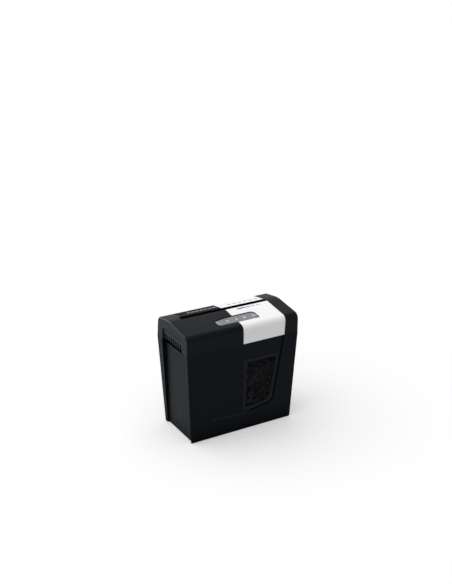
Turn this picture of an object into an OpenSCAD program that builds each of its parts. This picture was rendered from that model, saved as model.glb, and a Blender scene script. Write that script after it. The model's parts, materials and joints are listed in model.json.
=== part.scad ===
// Small cross-cut paper shredder: a cutting head that lifts off a tapered waste bin.
// Millimetres. X runs along the paper slot, the front faces -Y, Z is up.
// The origin is the middle of the footprint, at floor level.

/* [Body] */
// Width where the head meets the bin
body_w = 328; // [316:1:360]
// Depth where the head meets the bin
body_d = 168; // [166:1:180]
// Width of the bin at the floor
foot_w = 303; // [296:1:312]
// Depth of the bin at the floor
foot_d = 148; // [144:1:160]
// Height of the line where the head meets the bin
split_z = 250; // [235:1:290]
// Radius of the upright corners
corner_r = 3; // [2:0.5:5]
// Wall of the bin
bin_wall = 2.5; // [2:0.1:3]
// Height of the rubber feet under the bin's skirt
foot_h = 1; // [0.6:0.1:2]

/* [Head outline] */
// Height of the front rounding's centre over the split
front_round_z = 36; // [33:1:40]
// Radius of the rounding between the front and the top
front_round_r = 16.5; // [14:0.5:18]
// Slope of the top, up to the slot and down behind it
top_slope = 8.5; // [7:0.5:10]
// Depth position of the slot and the ridge
slot_y = 15.5; // [13:0.5:17]
// Radius over the ridge
ridge_r = 90; // [70:5:120]
// Radius of the rounding between the top and the back
rear_round_r = 18; // [14:1:20]
// Lean of the back wall
rear_lean = 7; // [4:1:9]
// Wall of the head's mouldings
head_wall = 3; // [2.8:0.1:3.5]
// How far the end cap stands proud
cap_proud = 1.5; // [0.5:0.1:2]
// Width of the end cap at the split
cap_w = 41.5; // [38:0.5:42.5]
// From the left end to the insert behind the slot
insert_left = 40; // [36:1:60]
// Corner radius at the insert's right end
insert_r = 9; // [4:1:12]
// Rounding at the outer edge of each end
end_round = 4; // [2:0.5:5]

/* [Panels] */
// Thickness of the silver panels
trim_t = 1.2; // [1:0.1:1.4]
// Width of the front silver panel
trim_w = 124.5; // [112:0.5:132]
// Width of the shadow gaps between panels
seam = 0.6; // [0.4:0.1:0.8]
// Length of the control strip
strip_l = 114; // [100:2:124]
// Width of the control strip
strip_w = 23; // [18:1:25]
// From the front of the head to the control strip
strip_in = 27; // [24:1:30]
// Large corner radius of the control strip
strip_r = 10; // [6:1:12]

/* [Slot and hand grips] */
// From the left end to the paper slot
slot_left = 35; // [34:0.5:38]
// From the paper slot to the right end
slot_right = 44; // [44:0.5:46]
// Width of the paper slot at the surface
slot_w = 7; // [6.4:0.2:8]
// From the front to the hand grips
grip_front = 30; // [26:1:34]
// From the hand grips to the back
grip_rear = 32; // [28:1:36]
// Height of the hand grips over the split
grip_h = 32; // [28:1:34]
// Depth of the step round the hand grips
grip_step = 2.2; // [1.6:0.2:3]
// Depth of the hand grips at the split
grip_depth = 5; // [4:0.5:7]
// Spacing of the vent slots in the hand grips
vent_pitch = 12.2; // [11.5:0.1:12.6]
// Width of the vent slots
vent_w = 5.4; // [4:0.2:6]

/* [Bin] */
// Depth of the recessed end panels at the top
recess_top = 9; // [7:0.5:10]
// Depth of the recessed end panels at the floor
recess_foot = 5; // [4:0.5:7]
// Height left free over the end panels, for fingers
finger_gap = 10; // [8:1:14]
// How far the lower right frame stands proud of the bin's front
frame_proud = 1.5; // [1:0.1:2]
// How far the window starts right of the silver panel's left edge
window_in = 3.5; // [-4:0.5:12]
// From the split down to the window
window_drop = 46.5; // [40:0.5:60]
// Lowest point of the swept edge under the window
sweep_low = 49; // [44:1:56]
// Width of the window's rim
rim_w = 8; // [6:0.5:10]
// Height of the heap of clippings
heap_h = 180; // [120:5:190]
// Clearance between the clippings and the bin
heap_gap = 0.3; // [0.3:0.1:3]

/* [Cutters] */
// Distance between the cutter shafts
shaft_gap = 30; // [30:0.5:31]
// Height of the cutter shafts over the split
shaft_up = 8; // [6:0.5:9]
// Tip radius of the cutter discs
disc_r = 19.2; // [18:0.1:19.2]
// Thickness of one cutter disc
disc_t = 4.4; // [3.6:0.1:4.4]
// Spacing of the discs on one shaft
disc_pitch = 9.2; // [9.2:0.02:9.28]
// Radius of the spacers between discs
spacer_r = 10; // [8:0.1:10]
// Hooked teeth on each disc
disc_teeth = 7; // [5:1:9]
// Radius of the shaft journals
journal_r = 6; // [5:0.1:6.5]
// Running clearance of shafts in their bushes
run_fit = 0.04; // [0.02:0.01:0.08]

/* [Drive] */
// Radius of the motor
motor_r = 22; // [20:0.5:22]
// Length of the motor's can
motor_l = 78; // [60:1:90]
// Radius of the gear pins
pin_r = 3; // [2.5:0.1:3.2]
// Thickness of the steel side plates
plate_t = 3; // [2:0.5:3]

/* [Hidden] */
$fn = 48;
far = 400;                       // longer than any side of the object
eps = 0.01;

// ---- bin sizes
skirt_z = foot_h;                // the skirt's lower edge
floor_z = foot_h + 2;            // underside of the bin's floor
half_w = body_w / 2;
half_d = body_d / 2;
lean_x = (half_w - foot_w / 2) / split_z;      // taper of the ends, per mm of height
lean_y = (half_d - foot_d / 2) / split_z;      // taper of the front and back
face_tilt = atan(lean_y);
recess_y0 = -half_d + 12;        // front edge of the end recesses
recess_y1 = half_d - 29;         // their rear edge at the top
recess_rear_run = 5;             // how much further back it is at the floor
cap_x = half_w - cap_w;          // inner edge of the end cap at the split
trim_x = cap_x - trim_w;         // left edge of the front silver panel
frame_fade_x = trim_x - 89;      // where the raised frame fades into the front
window_x = trim_x + window_in;
window_z = split_z - window_drop;
groove_w = 2.4;                  // dark groove beside the raised frame
fit = 0.15;                      // clearance between parts that plug together

// ---- head sizes
strip_x = trim_x + 2;            // middle of the control strip
strip_y = -half_d + strip_in;
slot_x0 = -half_w + slot_left;
slot_x1 = half_w - slot_right;
grip_y0 = -half_d + grip_front;
grip_y1 = half_d - grip_rear;
front_c = [-half_d + front_round_r, split_z + front_round_z];
n_top = [sin(top_slope), cos(top_slope)];
n_front = [-sin(top_slope), cos(top_slope)];
n_rear = [cos(rear_lean), sin(rear_lean)];
ridge_y = slot_y - 3.5;
// height at which the two slopes of the top would meet
apex_z = front_c[1] + (front_round_r - (ridge_y - front_c[0]) * n_front[0]) / n_front[1];
ridge_c = [ridge_y, apex_z - ridge_r / cos(top_slope)];
rear_c = corner_centre(n_top, [ridge_y, apex_z] * n_top - rear_round_r,
                       n_rear, [half_d, split_z] * n_rear - rear_round_r);
cap_lean = 0.06;                 // the cap's inner edge leans outwards as it rises
tongue = 1.2;                    // lip of the cap that reaches under the cover

// ---- cutter block and drive
shaft_z = split_z + shaft_up;
front_shaft = [slot_y - shaft_gap / 2, shaft_z];
rear_shaft = [slot_y + shaft_gap / 2, shaft_z];
block_x0 = slot_x0 + 11;         // inner faces of the side plates
block_x1 = slot_x1 - 7;
first_disc_x = block_x0 + 3;
discs = floor((block_x1 - 2 - disc_t - first_disc_x) / disc_pitch) + 1;
tray_z = split_z - 26;           // upper face of the head base's floor
tray_t = 2.5;
tray_x = half_w - 15;            // half the tray's outer width
tray_y = half_d - 5;             // half its outer depth
plate_top = split_z + 36;
bush_r = 9;
comb_bar = 4;                    // thickness of the combs' backs
comb_gap = 2;                    // between a comb's back and the disc tips
comb_front_y = front_shaft[0] - disc_r - comb_gap;   // rear face of the front back
comb_rear_y = rear_shaft[0] + disc_r + comb_gap;
motor_c = [comb_front_y - comb_bar - 1.3 - motor_r, split_z + 6];
motor_shaft_r = 2.5;
motor_x1 = block_x1;
motor_x0 = motor_x1 - motor_l;
board_x1 = motor_x0 - 30;             // the power board lies left of the motor's fan
board_x0 = -half_w + 52;
board_l = board_x1 - board_x0;
board_y0 = -half_d + 11;
board_y1 = comb_front_y - comb_bar - 6;
layer_1 = block_x1 + plate_t + 1;     // pinion and first idler
layer_2 = layer_1 + 7.5;              // first idler's pinion and second idler
layer_3 = layer_2 + 8;                // second idler's pinion and cutter gear
face_1 = 6;                           // face widths
face_2 = 6.5;
face_3 = 8.5;
box_end = layer_3 + face_3 + 3;       // inner face of the gearbox cover
box_wall = 2;
mod_1 = 0.8;                          // gear modules
mod_2 = 1;
mod_3 = 1.25;
mod_sync = shaft_gap / 15;
idler_two_c = front_shaft + turn(195, mod_3 * (36 + 12) / 2);
idler_one_c = third_corner(motor_c, mod_1 * (48 + 10) / 2, idler_two_c, mod_2 * (40 + 12) / 2);
slack = 0.12;                         // thinning of each tooth flank
phase_two_small = mesh_phase(front_shaft, 36, 0, idler_two_c, 12);
phase_one_small = mesh_phase(idler_two_c, 40, 0, idler_one_c, 12);
phase_pinion = mesh_phase(idler_one_c, 48, 0, motor_c, 10);
phase_sync = mesh_phase(front_shaft, 15, 0, rear_shaft, 15);

// ---- small parts
post_in = 24;                    // from the ends of the head to the screw posts
cover_posts = [[-half_w + post_in, -half_d + 18], [-half_w + post_in, half_d - 20],
    [trim_x + 15, -half_d + 14], [cap_x - 22.5, half_d - 18]];
cap_posts = [for (s = [-1, 1]) [half_w - post_in, s * (half_d - 20)]];
post_r = 4;
screw_r = 1.5;
screw_seat_z = split_z - 2;
flange_t = 2.4;
lip_t = 0.9;                     // shadow line between the head and the bin
edge_z = split_z + lip_t + 0.1;  // lower edge of the head's mouldings
light_pitch = 26;
light_x = [for (k = [0:3]) strip_x - 28 + k * light_pitch];
key_x = -half_w + 103;           // bin rib that closes the safety switch
key_top = split_z - 14;
board_z = tray_z + 8;
rocker_x = -half_w + 68;
rocker_z = split_z + 18;
louvre_x = -half_w + 112;
gland_x = -half_w + 36;
gland_z = split_z + 14;

// ================= functions
function turn(a, r) = [r * cos(a), r * sin(a)];
function arc(c, r, a0, a1, n) = [for (i = [0:n]) c + turn(a0 + (a1 - a0) * i / n, r)];
// point at the given signed distances d1, d2 along two unit normals
function corner_centre(n1, d1, n2, d2) =
    let (det = n1[0] * n2[1] - n1[1] * n2[0])
    [(d1 * n2[1] - d2 * n1[1]) / det, (n1[0] * d2 - n2[0] * d1) / det];
// the upper point at distance ra from a and rb from b
function third_corner(a, ra, b, rb) =
    let (d = norm(b - a), u = (b - a) / d, s = (ra * ra - rb * rb + d * d) / (2 * d))
    a + u * s + [-u[1], u[0]] * sqrt(ra * ra - s * s);
function bezier(p, q, r, n) =
    [for (i = [0:n]) let (t = i / n) p * pow(1 - t, 2) + q * 2 * t * (1 - t) + r * t * t];
// involute gear outline: three radii on each flank
function involute(a) = tan(a) * 180 / PI - a;
function half_tooth(teeth, m, r) =
    let (base = m * teeth / 2 * cos(20), a = acos(min(1, base / r)))
    90 / teeth + involute(20) - involute(a) - slack / (m * teeth / 2) * 180 / PI;
function gear_outline(teeth, m, phase) =
    let (radii = [teeth / 2 - 1.25, teeth / 2, teeth / 2 + 0.95] * m)
    [for (i = [0:teeth - 1]) let (a = phase + 360 * i / teeth)
        each concat([for (r = radii) turn(a - half_tooth(teeth, m, r), r)],
                    [for (k = [2:-1:0]) turn(a + half_tooth(teeth, m, radii[k]), radii[k])])];
// phase that puts gear b in mesh with gear a
function mesh_phase(ca, na, phase_a, cb, nb) =
    let (along = atan2(cb[1] - ca[1], cb[0] - ca[0]))
    along + 180 + 180 / nb + (along - phase_a) * na / nb;
// end outline of the head as depth and height, moved outwards by g
function head_outline(g) = concat(
    [[-half_d - g, split_z]],
    arc(front_c, front_round_r + g, 180, 90 + top_slope, 12),
    arc(ridge_c, ridge_r + g, 90 + top_slope, 90 - top_slope, 8),
    arc(rear_c, rear_round_r + g, 90 - top_slope, rear_lean, 12),
    [[half_d + g / cos(rear_lean), split_z]]);
// height of the top surface at a depth, between the roundings
function top_z(y) = apex_z - abs(y - ridge_y) * tan(top_slope);
function rear_wall_y(z) = half_d - (z - split_z) * tan(rear_lean);
function cap_edge(z) = cap_x + (z - split_z) * cap_lean;
function half_x(z) = foot_w / 2 + z * lean_x;
// right and lower boundary of the bin's recessed front, moved inwards by g
groove_lean = 0.148;
sweep_r = 505;                   // the shallow curve along the bottom
sweep_c = [trim_x - 10, sweep_low + sweep_r];
bend_x = cap_x - 28.3;           // corner where the two edges would meet
bend_up = 25;                    // where the bend starts, over the lowest point
bend_run = 20;                   // length of the bend along the bottom
function groove_x(z, g) = cap_x - (split_z - z) * groove_lean - g;
function sweep_z(x, g) = sweep_c[1] - sqrt(pow(sweep_r - g, 2) - pow(x - sweep_c[0], 2));
function sweep_curve(g) = let (z0 = sweep_low + bend_up + g, x1 = bend_x - bend_run - g, x2 = x1 - 12)
    concat(bezier([groove_x(z0, g), z0], [bend_x - g, sweep_z(bend_x - g, g)], [x1, sweep_z(x1, g)], 12),
        [for (i = [0:10]) let (x = x2 + (frame_fade_x - x2) * i / 10) [x, sweep_z(x, g)]]);

// ================= helpers
// extrudes a depth-height outline along X
module along_x(x0, x1) {
    translate([x0, 0, 0]) rotate([90, 0, 90]) linear_extrude(x1 - x0) children();
}
// extrudes a width-height outline along Y
module along_y(y0, y1) {
    translate([0, y1, 0]) rotate([90, 0, 0]) linear_extrude(y1 - y0) children();
}
// round bar along X at a depth-height point
module bar(c, x0, x1, r) {
    translate([x0, c[0], c[1]]) rotate([0, 90, 0]) cylinder(h = x1 - x0, r = r);
}
module block(x, y, z) {
    translate([x[0], y[0], z[0]]) cube([x[1] - x[0], y[1] - y[0], z[1] - z[0]]);
}
// places a width-height outline on the bin's leaning front, thickness outwards
module on_front(z0, z1) {
    translate([0, -foot_d / 2, 0]) rotate([90 + face_tilt, 0, 0])
        translate([0, 0, z0]) linear_extrude(z1 - z0) children();
}
// tapered box with round upright corners, moved inwards by g
module tapered_box(g, z0, z1) {
    r = max(corner_r - g, 0.5);
    hull() for (sx = [-1, 1], sy = [-1, 1], z = [z0, z1 - eps])
        translate([sx * (half_x(z) - g - r), sy * (foot_d / 2 + z * lean_y - g - r), z])
            cylinder(h = eps, r = r, $fn = 32);
}

// ================= bin
// the channel in each end of the bin, moved outwards by g
module end_recess(s, g) {
    xo = half_w + 20;
    rotate([0, 0, s < 0 ? 180 : 0]) intersection() {
        along_y(-half_d, half_d) polygon([
            [half_x(0) - recess_foot - g, -1], [half_w - recess_top - g, split_z + 1],
            [xo, split_z + 1], [xo, -1]]);
        along_x(half_w - 40, xo) polygon([
            [s * recess_y0 - s * g, -1], [s * recess_y0 - s * g, split_z + 1],
            [s * (recess_y1 + g), split_z + 1], [s * (recess_y1 + recess_rear_run + g), -1]]);
    }
}
module frame_region() {
    polygon(concat([[cap_x, split_z + 1]], sweep_curve(0),
        [[frame_fade_x, -1], [half_w, -1], [half_w, split_z + 1]]));
}
module groove_region() {
    difference() {
        polygon(concat([[cap_x, split_z + 1]], sweep_curve(0), [[frame_fade_x, split_z + 1]]));
        polygon(concat([[cap_x - groove_w, split_z + 2]], sweep_curve(groove_w),
            [[frame_fade_x - 1, split_z + 2]]));
    }
}
// wedge that fades to nothing at the left, as a width-depth outline that starts 1 mm deeper
module fade_wedge(t) {
    translate([0, 0, -1]) linear_extrude(split_z + 4)
        polygon([[frame_fade_x, -1], [frame_fade_x, 0], [half_w, t], [half_w, -1]]);
}
module raised_frame() {
    intersection() {
        on_front(-1, 2) frame_region();
        translate([0, -foot_d / 2, 0]) rotate([face_tilt, 0, 0])
            mirror([0, 1, 0]) fade_wedge(frame_proud + 0.2);
        translate([0, -frame_proud, 0]) tapered_box(0, skirt_z, split_z);
    }
}
module groove_cut() {
    intersection() {
        on_front(-2, 1) groove_region();
        translate([0, -foot_d / 2, 0]) rotate([face_tilt, 0, 0])
            translate([0, -1, 0]) fade_wedge(2.3);
    }
}
module window_outline(g) {
    polygon(concat([[window_x + g, window_z - g], [groove_x(window_z - g, 6.5 + g), window_z - g]],
        [for (p = sweep_curve(6.5 + g)) if (p[0] > window_x + g + 2) p],
        [[window_x + g, sweep_z(window_x + g, 6.5 + g)]]));
}
module bin_shell() color([0.07, 0.08, 0.09]) {
    difference() {
        union() {
            tapered_box(0, skirt_z, split_z);
            raised_frame();
        }
        // inside, which follows the end channels
        difference() {
            tapered_box(bin_wall, floor_z + bin_wall, split_z + 0.5);
            for (s = [-1, 1]) end_recess(s, bin_wall);
        }
        for (s = [-1, 1]) end_recess(s, 0);
        // finger gaps over the end panels
        for (s = [-1, 1]) translate([s * half_w, 0, 0])
            block([-20, 20], [recess_y0, recess_y1], [split_z - finger_gap, split_z + 1]);
        // hollow under the floor, inside the skirt
        difference() {
            tapered_box(bin_wall, 0, floor_z);
            for (s = [-1, 1]) end_recess(s, bin_wall);
        }
        for (s = [-1, 1]) translate([s * half_w, 0, 0])
            block([-20, 20], [recess_y0, recess_y1], [0, floor_z - 1]);
        groove_cut();
        on_front(-6, 3) window_outline(-fit);
    }
    // rib that reaches up through the head base and closes the safety switch
    intersection() {
        block([key_x - 5, key_x + 5], [half_d - 14, half_d], [split_z - 50, key_top]);
        tapered_box(bin_wall - 1, split_z - 60, split_z);
    }
}
module window_frame() color([0.12, 0.12, 0.13]) difference() {
    union() {
        on_front(-4.2, 0.3) window_outline(0);
        on_front(-4.2, -bin_wall - 0.1) window_outline(-4);
    }
    on_front(-5, 1) window_outline(rim_w);
    on_front(-5, -2.2) window_outline(rim_w - 3);
}
module window_pane() color([0.2, 0.2, 0.2, 0.4])
    on_front(-4.2, -2.3) window_outline(rim_w - 3 + fit);
// heap of clippings, highest behind the window
module shredded_paper() color([0.75, 0.72, 0.66]) {
    low = floor_z + bin_wall + heap_gap;
    x1 = min(foot_w / 2 - recess_foot, half_w - recess_top) - bin_wall - heap_gap;
    y0 = -foot_d / 2 + 4.2 + heap_gap;
    y1 = foot_d / 2 - bin_wall - heap_gap;
    hull() {
        translate([window_x - 42, y0, low]) cube([x1 - window_x + 42, y1 - y0, heap_h * 0.45]);
        translate([window_x - 6, y0, low]) cube([x1 - window_x - 10, (y1 - y0) * 0.6, heap_h - 20]);
        translate([window_x + 20, y0, low]) cube([60, (y1 - y0) * 0.3, heap_h]);
    }
}
module rubber_feet() color([0.1, 0.1, 0.1])
    for (sx = [-1, 1], sy = [-1, 1]) translate([sx * (foot_w / 2 - 26), sy * (foot_d / 2 - 22), 0])
        cylinder(h = floor_z, r = 8);

// ================= head mouldings
// solid head body with a rounded outer edge at one or both ends
module head_solid(x0, x1, g, round_left, round_right) {
    k = [0, 0.3, 0.6, 0.85, 1];
    l = round_left ? end_round : 0;
    r = round_right ? end_round : 0;
    along_x(x0 + l, x1 - r) polygon(head_outline(g));
    if (round_left) for (i = [0:3]) round_slice(x0 + l, -1, g, k[i], k[i + 1]);
    if (round_right) for (i = [0:3]) round_slice(x1 - r, 1, g, k[i], k[i + 1]);
}
module round_slice(x, s, g, k0, k1) {
    hull() for (k = [k0, k1])
        translate([x + s * (end_round - eps) * k, 0, 0]) along_x(-eps, eps)
            polygon(head_outline(g - end_round * (1 - sqrt(1 - 0.9 * k * k))));
}
// everything left of the end cap's inner edge, moved left by g
module left_of_cap(g) {
    along_y(-far, far) polygon([[-far, 0], [-far, far], [cap_edge(far) - g, far],
        [cap_edge(0) - g, 0]]);
}
function grip_top(y) = split_z + grip_h + 3.5 - pow(y - (grip_y0 + grip_y1) / 2, 2) / 800;
function grip_in(z) = grip_step + (grip_depth - grip_step) * pow((split_z + grip_h - z) / grip_h, 2);
// hand grip at one end: the hollow, or the wall behind it when g is the wall
module grip(s, g) {
    ym = (grip_y1 + grip_y0) / 2;
    yh = (grip_y1 - grip_y0) / 2;
    intersection() {
        along_x(s < 0 ? -half_w - 10 : half_w - 30, s < 0 ? -half_w + 30 : half_w + 10)
            polygon(concat([[grip_y0 - g, split_z - 1]],
                [for (i = [0:12]) let (y = ym - (yh + g) * cos(15 * i))
                    [y, grip_top(y) + g - (i == 0 || i == 12 ? 5 : 0)]],
                [[grip_y1 + g, split_z - 1]]));
        along_y(-half_d, half_d) polygon(concat(
            [[s * (half_w + 10), split_z - 1], [s * (half_w + 10), split_z + grip_h + 20],
             [s * (half_w - grip_step - g), split_z + grip_h + 20]],
            [for (z = [split_z + grip_h:-grip_h / 8:split_z]) [s * (half_w - grip_in(z) - g), z]],
            [[s * (half_w - grip_depth - g), split_z - 1]]));
    }
}
module grip_vents(s) {
    vents = floor((grip_y1 - grip_y0 - 20) / vent_pitch);
    for (k = [0:vents]) let (y = grip_y0 + 12 + k * vent_pitch, top = split_z + 20 - vent_w / 2) {
        translate([s * half_w, y, 0]) block([-24, 24], [-vent_w / 2, vent_w / 2], [split_z + 3, top]);
        bar([y, top], s * half_w - 24, s * half_w + 24, vent_w / 2);
    }
}
module strip_shape(g) {
    r = strip_r;
    x = strip_l / 2 + g;
    y0 = strip_y - g;
    y1 = strip_y + strip_w + g;
    translate([strip_x, 0]) polygon(concat(arc([-x + r, y0 + r], r, 180, 270, 6), [[x, y0]],
        arc([x - r, y1 - r], r, 0, 90, 6), [[-x, y1]]));
}
module upright(z0, z1) { translate([0, 0, z0]) linear_extrude(z1 - z0) children(); }
// region of the front silver panel: front, rounding and top up to the slot
module front_trim_region(g) {
    block([trim_x - g, half_w], [-far, slot_y - slot_w / 2 - 1.5 + g], [edge_z - g, far]);
}
module rear_trim_region(g) {
    block([trim_x - 2 - g, half_w], [slot_y + slot_w / 2 + 1 - g, rear_c[0] + 9 + g],
        [rear_c[1] + 6, far]);
}
// plan of the insert behind the slot's left half, g larger all round
module insert_plan(g) {
    x0 = -half_w + insert_left - g;
    x1 = trim_x - 2 - seam - 0.2 + g;
    y0 = slot_y + slot_w / 2 + 1.6 - g;
    y1 = rear_c[0] + 3 + g;
    polygon(concat([[x0, y0]], arc([x1 - insert_r, y0 + insert_r], insert_r, -90, 0, 8),
        arc([x1 - insert_r, y1 - insert_r], insert_r, 0, 90, 8), [[x0, y1]]));
}
module trim_ring(g0, g1) {
    difference() {
        along_x(-half_w, half_w) polygon(head_outline(g0));
        along_x(-half_w - 1, half_w + 1) polygon(head_outline(g1));
    }
}
// screw posts that reach up into the moulding's wall, g inside its surface
module posts(places, g) {
    z0 = split_z + flange_t + 0.1;
    for (p = places) difference() {
        intersection() {
            translate([p[0], p[1], z0]) cylinder(h = far, r = post_r);
            along_x(-half_w, half_w) polygon(head_outline(-g));
        }
        translate([p[0], p[1], z0 - 1]) cylinder(h = 15, r = screw_r + 0.05);
    }
}
module slot_cut(x0, x1, w) {
    block([x0 + w / 2, x1], [slot_y - w / 2, slot_y + w / 2], [split_z + 50, far]);
    translate([x0 + w / 2, slot_y, split_z + 50]) cylinder(h = 100, r = w / 2);
}
module head_cover() color([0.09, 0.1, 0.11]) {
    difference() {
        union() {
            difference() {
                head_solid(-half_w, half_w, 0, true, false);
                along_x(-half_w + head_wall, half_w + 1) polygon(head_outline(-head_wall));
            }
            intersection() {
                grip(-1, head_wall);
                along_x(-half_w + 1, 0) polygon(head_outline(-1));
            }
        }
        block([-far, far], [-far, far], [0, edge_z]);
        difference() {
            block([-far, far * 2], [-far, far], [0, far]);
            left_of_cap(seam);
        }
        grip(-1, 0);
        grip_vents(-1);
        slot_cut(slot_x0, slot_x1, slot_w);
        // seats of the silver panels and of the control strip
        intersection() {
            union() {
                front_trim_region(seam);
                rear_trim_region(seam);
            }
            trim_ring(2, -trim_t - 0.1);
        }
        intersection() {
            upright(split_z + 20, far) strip_shape(0.4);
            difference() {
                along_x(-half_w, half_w) polygon(head_outline(2));
                along_x(-half_w - 1, half_w + 1) polygon(head_outline(-trim_t - 0.8));
            }
        }
        intersection() {
            upright(split_z + 20, far) insert_plan(0.2);
            trim_ring(2, -trim_t - 0.1);
        }
        for (x = light_x) under_strip(-10) translate([x, 0, 0]) cylinder(h = 12, r = 2.4);
        // louvres, switch and cord openings in the back
        for (k = [0:13]) translate([louvre_x + k * 9, 0, 0])
            block([0, 4], [half_d - 20, half_d + 5], [split_z + 14, split_z + 32]);
        at_rear(rocker_x, rocker_z) block([-10.5, 10.5], [-8, 8], [-7, 7]);
        at_rear(gland_x, gland_z) rotate([90, 0, 0]) cylinder(h = 30, r = 6, center = true);
    }
    posts(cover_posts, head_wall - 0.8);
}
// frame of the leaning back wall: Y outwards, Z up the wall
module at_rear(x, z) {
    translate([x, rear_wall_y(z), z]) rotate([rear_lean, 0, 0]) children();
}
module end_cap() color([0.08, 0.085, 0.09]) {
    difference() {
        union() {
            difference() {
                head_solid(0, half_w, cap_proud, false, true);
                along_x(-1, half_w - head_wall) polygon(head_outline(cap_proud - head_wall));
                left_of_cap(0);
            }
            intersection() {
                grip(1, head_wall);
                along_x(0, half_w - 1) polygon(head_outline(-1));
            }
            // tongue under the cover's edge
            intersection() {
                difference() {
                    along_x(cap_x - 4, cap_x + 8) polygon(head_outline(-head_wall - 0.1));
                    along_x(cap_x - 5, cap_x + 9) polygon(head_outline(-head_wall - 0.1 - tongue));
                }
                block([0, far], [-far, far], [split_z + 8, far]);
            }
            intersection() {
                difference() {
                    along_x(cap_x + 4.5, cap_x + 8) polygon(head_outline(0));
                    along_x(cap_x + 4, cap_x + 9) polygon(head_outline(-head_wall - 0.1 - tongue));
                }
                block([0, far], [-far, far], [split_z + 8, far]);
            }
        }
        block([-far, far], [-far, far], [0, edge_z]);
        grip(1, 0);
        grip_vents(1);
        block([0, slot_x1 + 2], [slot_y - 8, slot_y + 8], [split_z, far]);
    }
    posts(cap_posts, head_wall - cap_proud - 0.5);
}
module front_trim() color([0.72, 0.72, 0.73]) difference() {
    intersection() {
        front_trim_region(0);
        trim_ring(0, -trim_t);
        left_of_cap(seam);
    }
    upright(split_z + 20, far) strip_shape(0.4);
}
module rear_trim() color([0.75, 0.75, 0.76]) intersection() {
    rear_trim_region(0);
    trim_ring(0, -trim_t);
    left_of_cap(seam);
}
module rear_insert() color([0.04, 0.04, 0.05]) intersection() {
    upright(split_z + 20, far) insert_plan(0);
    difference() {
        along_x(-half_w, half_w) polygon(head_outline(0.2));
        along_x(-half_w - 1, half_w + 1) polygon(head_outline(-trim_t));
    }
}
module control_strip() color([0.5, 0.52, 0.54]) intersection() {
    upright(split_z + 20, far) strip_shape(0);
    difference() {
        along_x(-half_w, half_w) polygon(head_outline(-0.3));
        along_x(-half_w - 1, half_w + 1) polygon(head_outline(-trim_t - 0.7));
    }
}

// ================= head base, a tray that sits in the bin's mouth
module rounded_plan(x, y, r, z0, z1) {
    hull() for (sx = [-1, 1], sy = [-1, 1]) translate([sx * (x - r), sy * (y - r), z0])
        cylinder(h = z1 - z0, r = r, $fn = 32);
}
module head_base() color([0.06, 0.06, 0.07]) {
    difference() {
        union() {
            // flange: a narrow lip seen as the shadow line, then the seat inside the cover
            rounded_plan(half_w - 1, half_d - 1, 3, split_z, split_z + lip_t);
            rounded_plan(half_w - head_wall - 0.3, half_d - head_wall - 1, 3, split_z, split_z + flange_t);
            rounded_plan(tray_x, tray_y, 4, tray_z - tray_t, split_z + eps);
        }
        rounded_plan(tray_x - tray_t, tray_y - tray_t, 3, tray_z, split_z + 5);
        // the flange rests on the front and back walls; its ends leave room for fingers
        for (s = [0, 1]) mirror([s, 0, 0])
            block([tray_x, half_w + 5], [-half_d, half_d], [split_z - 1, split_z + 5]);
        // clippings drop through here
        block([block_x0 + 2, block_x1 - 2], [comb_front_y + 3, comb_rear_y - 3], [0, tray_z + 1]);
        // passage of the bin's rib
        block([key_x - 6, key_x + 6], [half_d - 15, half_d + 2], [0, key_top + 2]);
        for (p = concat(cover_posts, cap_posts)) translate([p[0], p[1], 0]) {
            cylinder(h = screw_seat_z, r = 3.8);
            cylinder(h = far, r = screw_r + 0.3);
        }
    }
    // screw tubes
    for (p = concat(cover_posts, cap_posts)) difference() {
        translate([p[0], p[1], tray_z - tray_t]) cylinder(h = split_z + flange_t - tray_z + tray_t, r = 5.2);
        translate([p[0], p[1], 0]) cylinder(h = screw_seat_z, r = 3.8);
        translate([p[0], p[1], 0]) cylinder(h = far, r = screw_r + 0.3);
    }
    // motor cradle and board standoffs
    for (x = [block_x1 - 60, block_x1 - 20]) difference() {
        block([x, x + 3], [motor_c[0] - 18, motor_c[0] + 18], [tray_z - eps, motor_c[1] - 6]);
        bar(motor_c, x - 1, x + 4, motor_r + 0.2);
    }
    for (x = [board_x0 + 6, board_x1 - 6], y = [board_y0 + 5, board_y1 - 5])
        translate([x, y, tray_z - eps]) cylinder(h = board_z - tray_z, r = 3);
}
module cover_screws() color([0.6, 0.6, 0.62]) for (p = concat(cover_posts, cap_posts)) {
    translate([p[0], p[1], screw_seat_z - 2.2]) cylinder(h = 2.2, r = 3.4);
    translate([p[0], p[1], screw_seat_z - 0.1]) cylinder(h = 14, r = screw_r);
}

// ================= throat
throat_x0 = slot_x0 - 2;
throat_x1 = slot_x1 + 1.5;
throat_top = top_z(slot_y - slot_w / 2) - head_wall - 2.5;
nip_z = shaft_z + disc_r + 1.8;
throat_nip = 5.4;                // gap between the guides at the nip
// one guide: s = -1 for the front one, 1 for the rear one
module throat_guide(s) {
    w = slot_w / 2;
    n = throat_nip / 2;
    face = [[s * w, throat_top], [s * n, plate_top], [s * n, nip_z]];
    translate([0, slot_y, 0]) {
        along_x(throat_x0, throat_x1) polygon([[s * w, throat_top], [s * n, plate_top],
            [s * (w + 2.5), plate_top], [s * (w + 2.5), throat_top]]);
        along_x(throat_x0, block_x1 + plate_t) polygon([[s * n, plate_top], [s * 16, plate_top],
            [s * 16, plate_top + 2], [s * n, plate_top + 2]]);
        along_x(block_x0 + 0.2, block_x1 - 0.2) polygon([[s * n, plate_top + 1], [s * n, nip_z],
            [s * (n + 5), nip_z], [s * (n + 9), plate_top + 1]]);
    }
}
module throat_front() color([0.1, 0.1, 0.11]) difference() {
    union() {
        throat_guide(-1);
        for (x = [throat_x0, throat_x1 - 1.5]) translate([x, 0, 0])
            block([0, 1.5], [slot_y - slot_w / 2 - 1, slot_y + slot_w / 2 - 0.2],
                [plate_top, throat_top]);
    }
    sensor_bore(-1);
}
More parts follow.
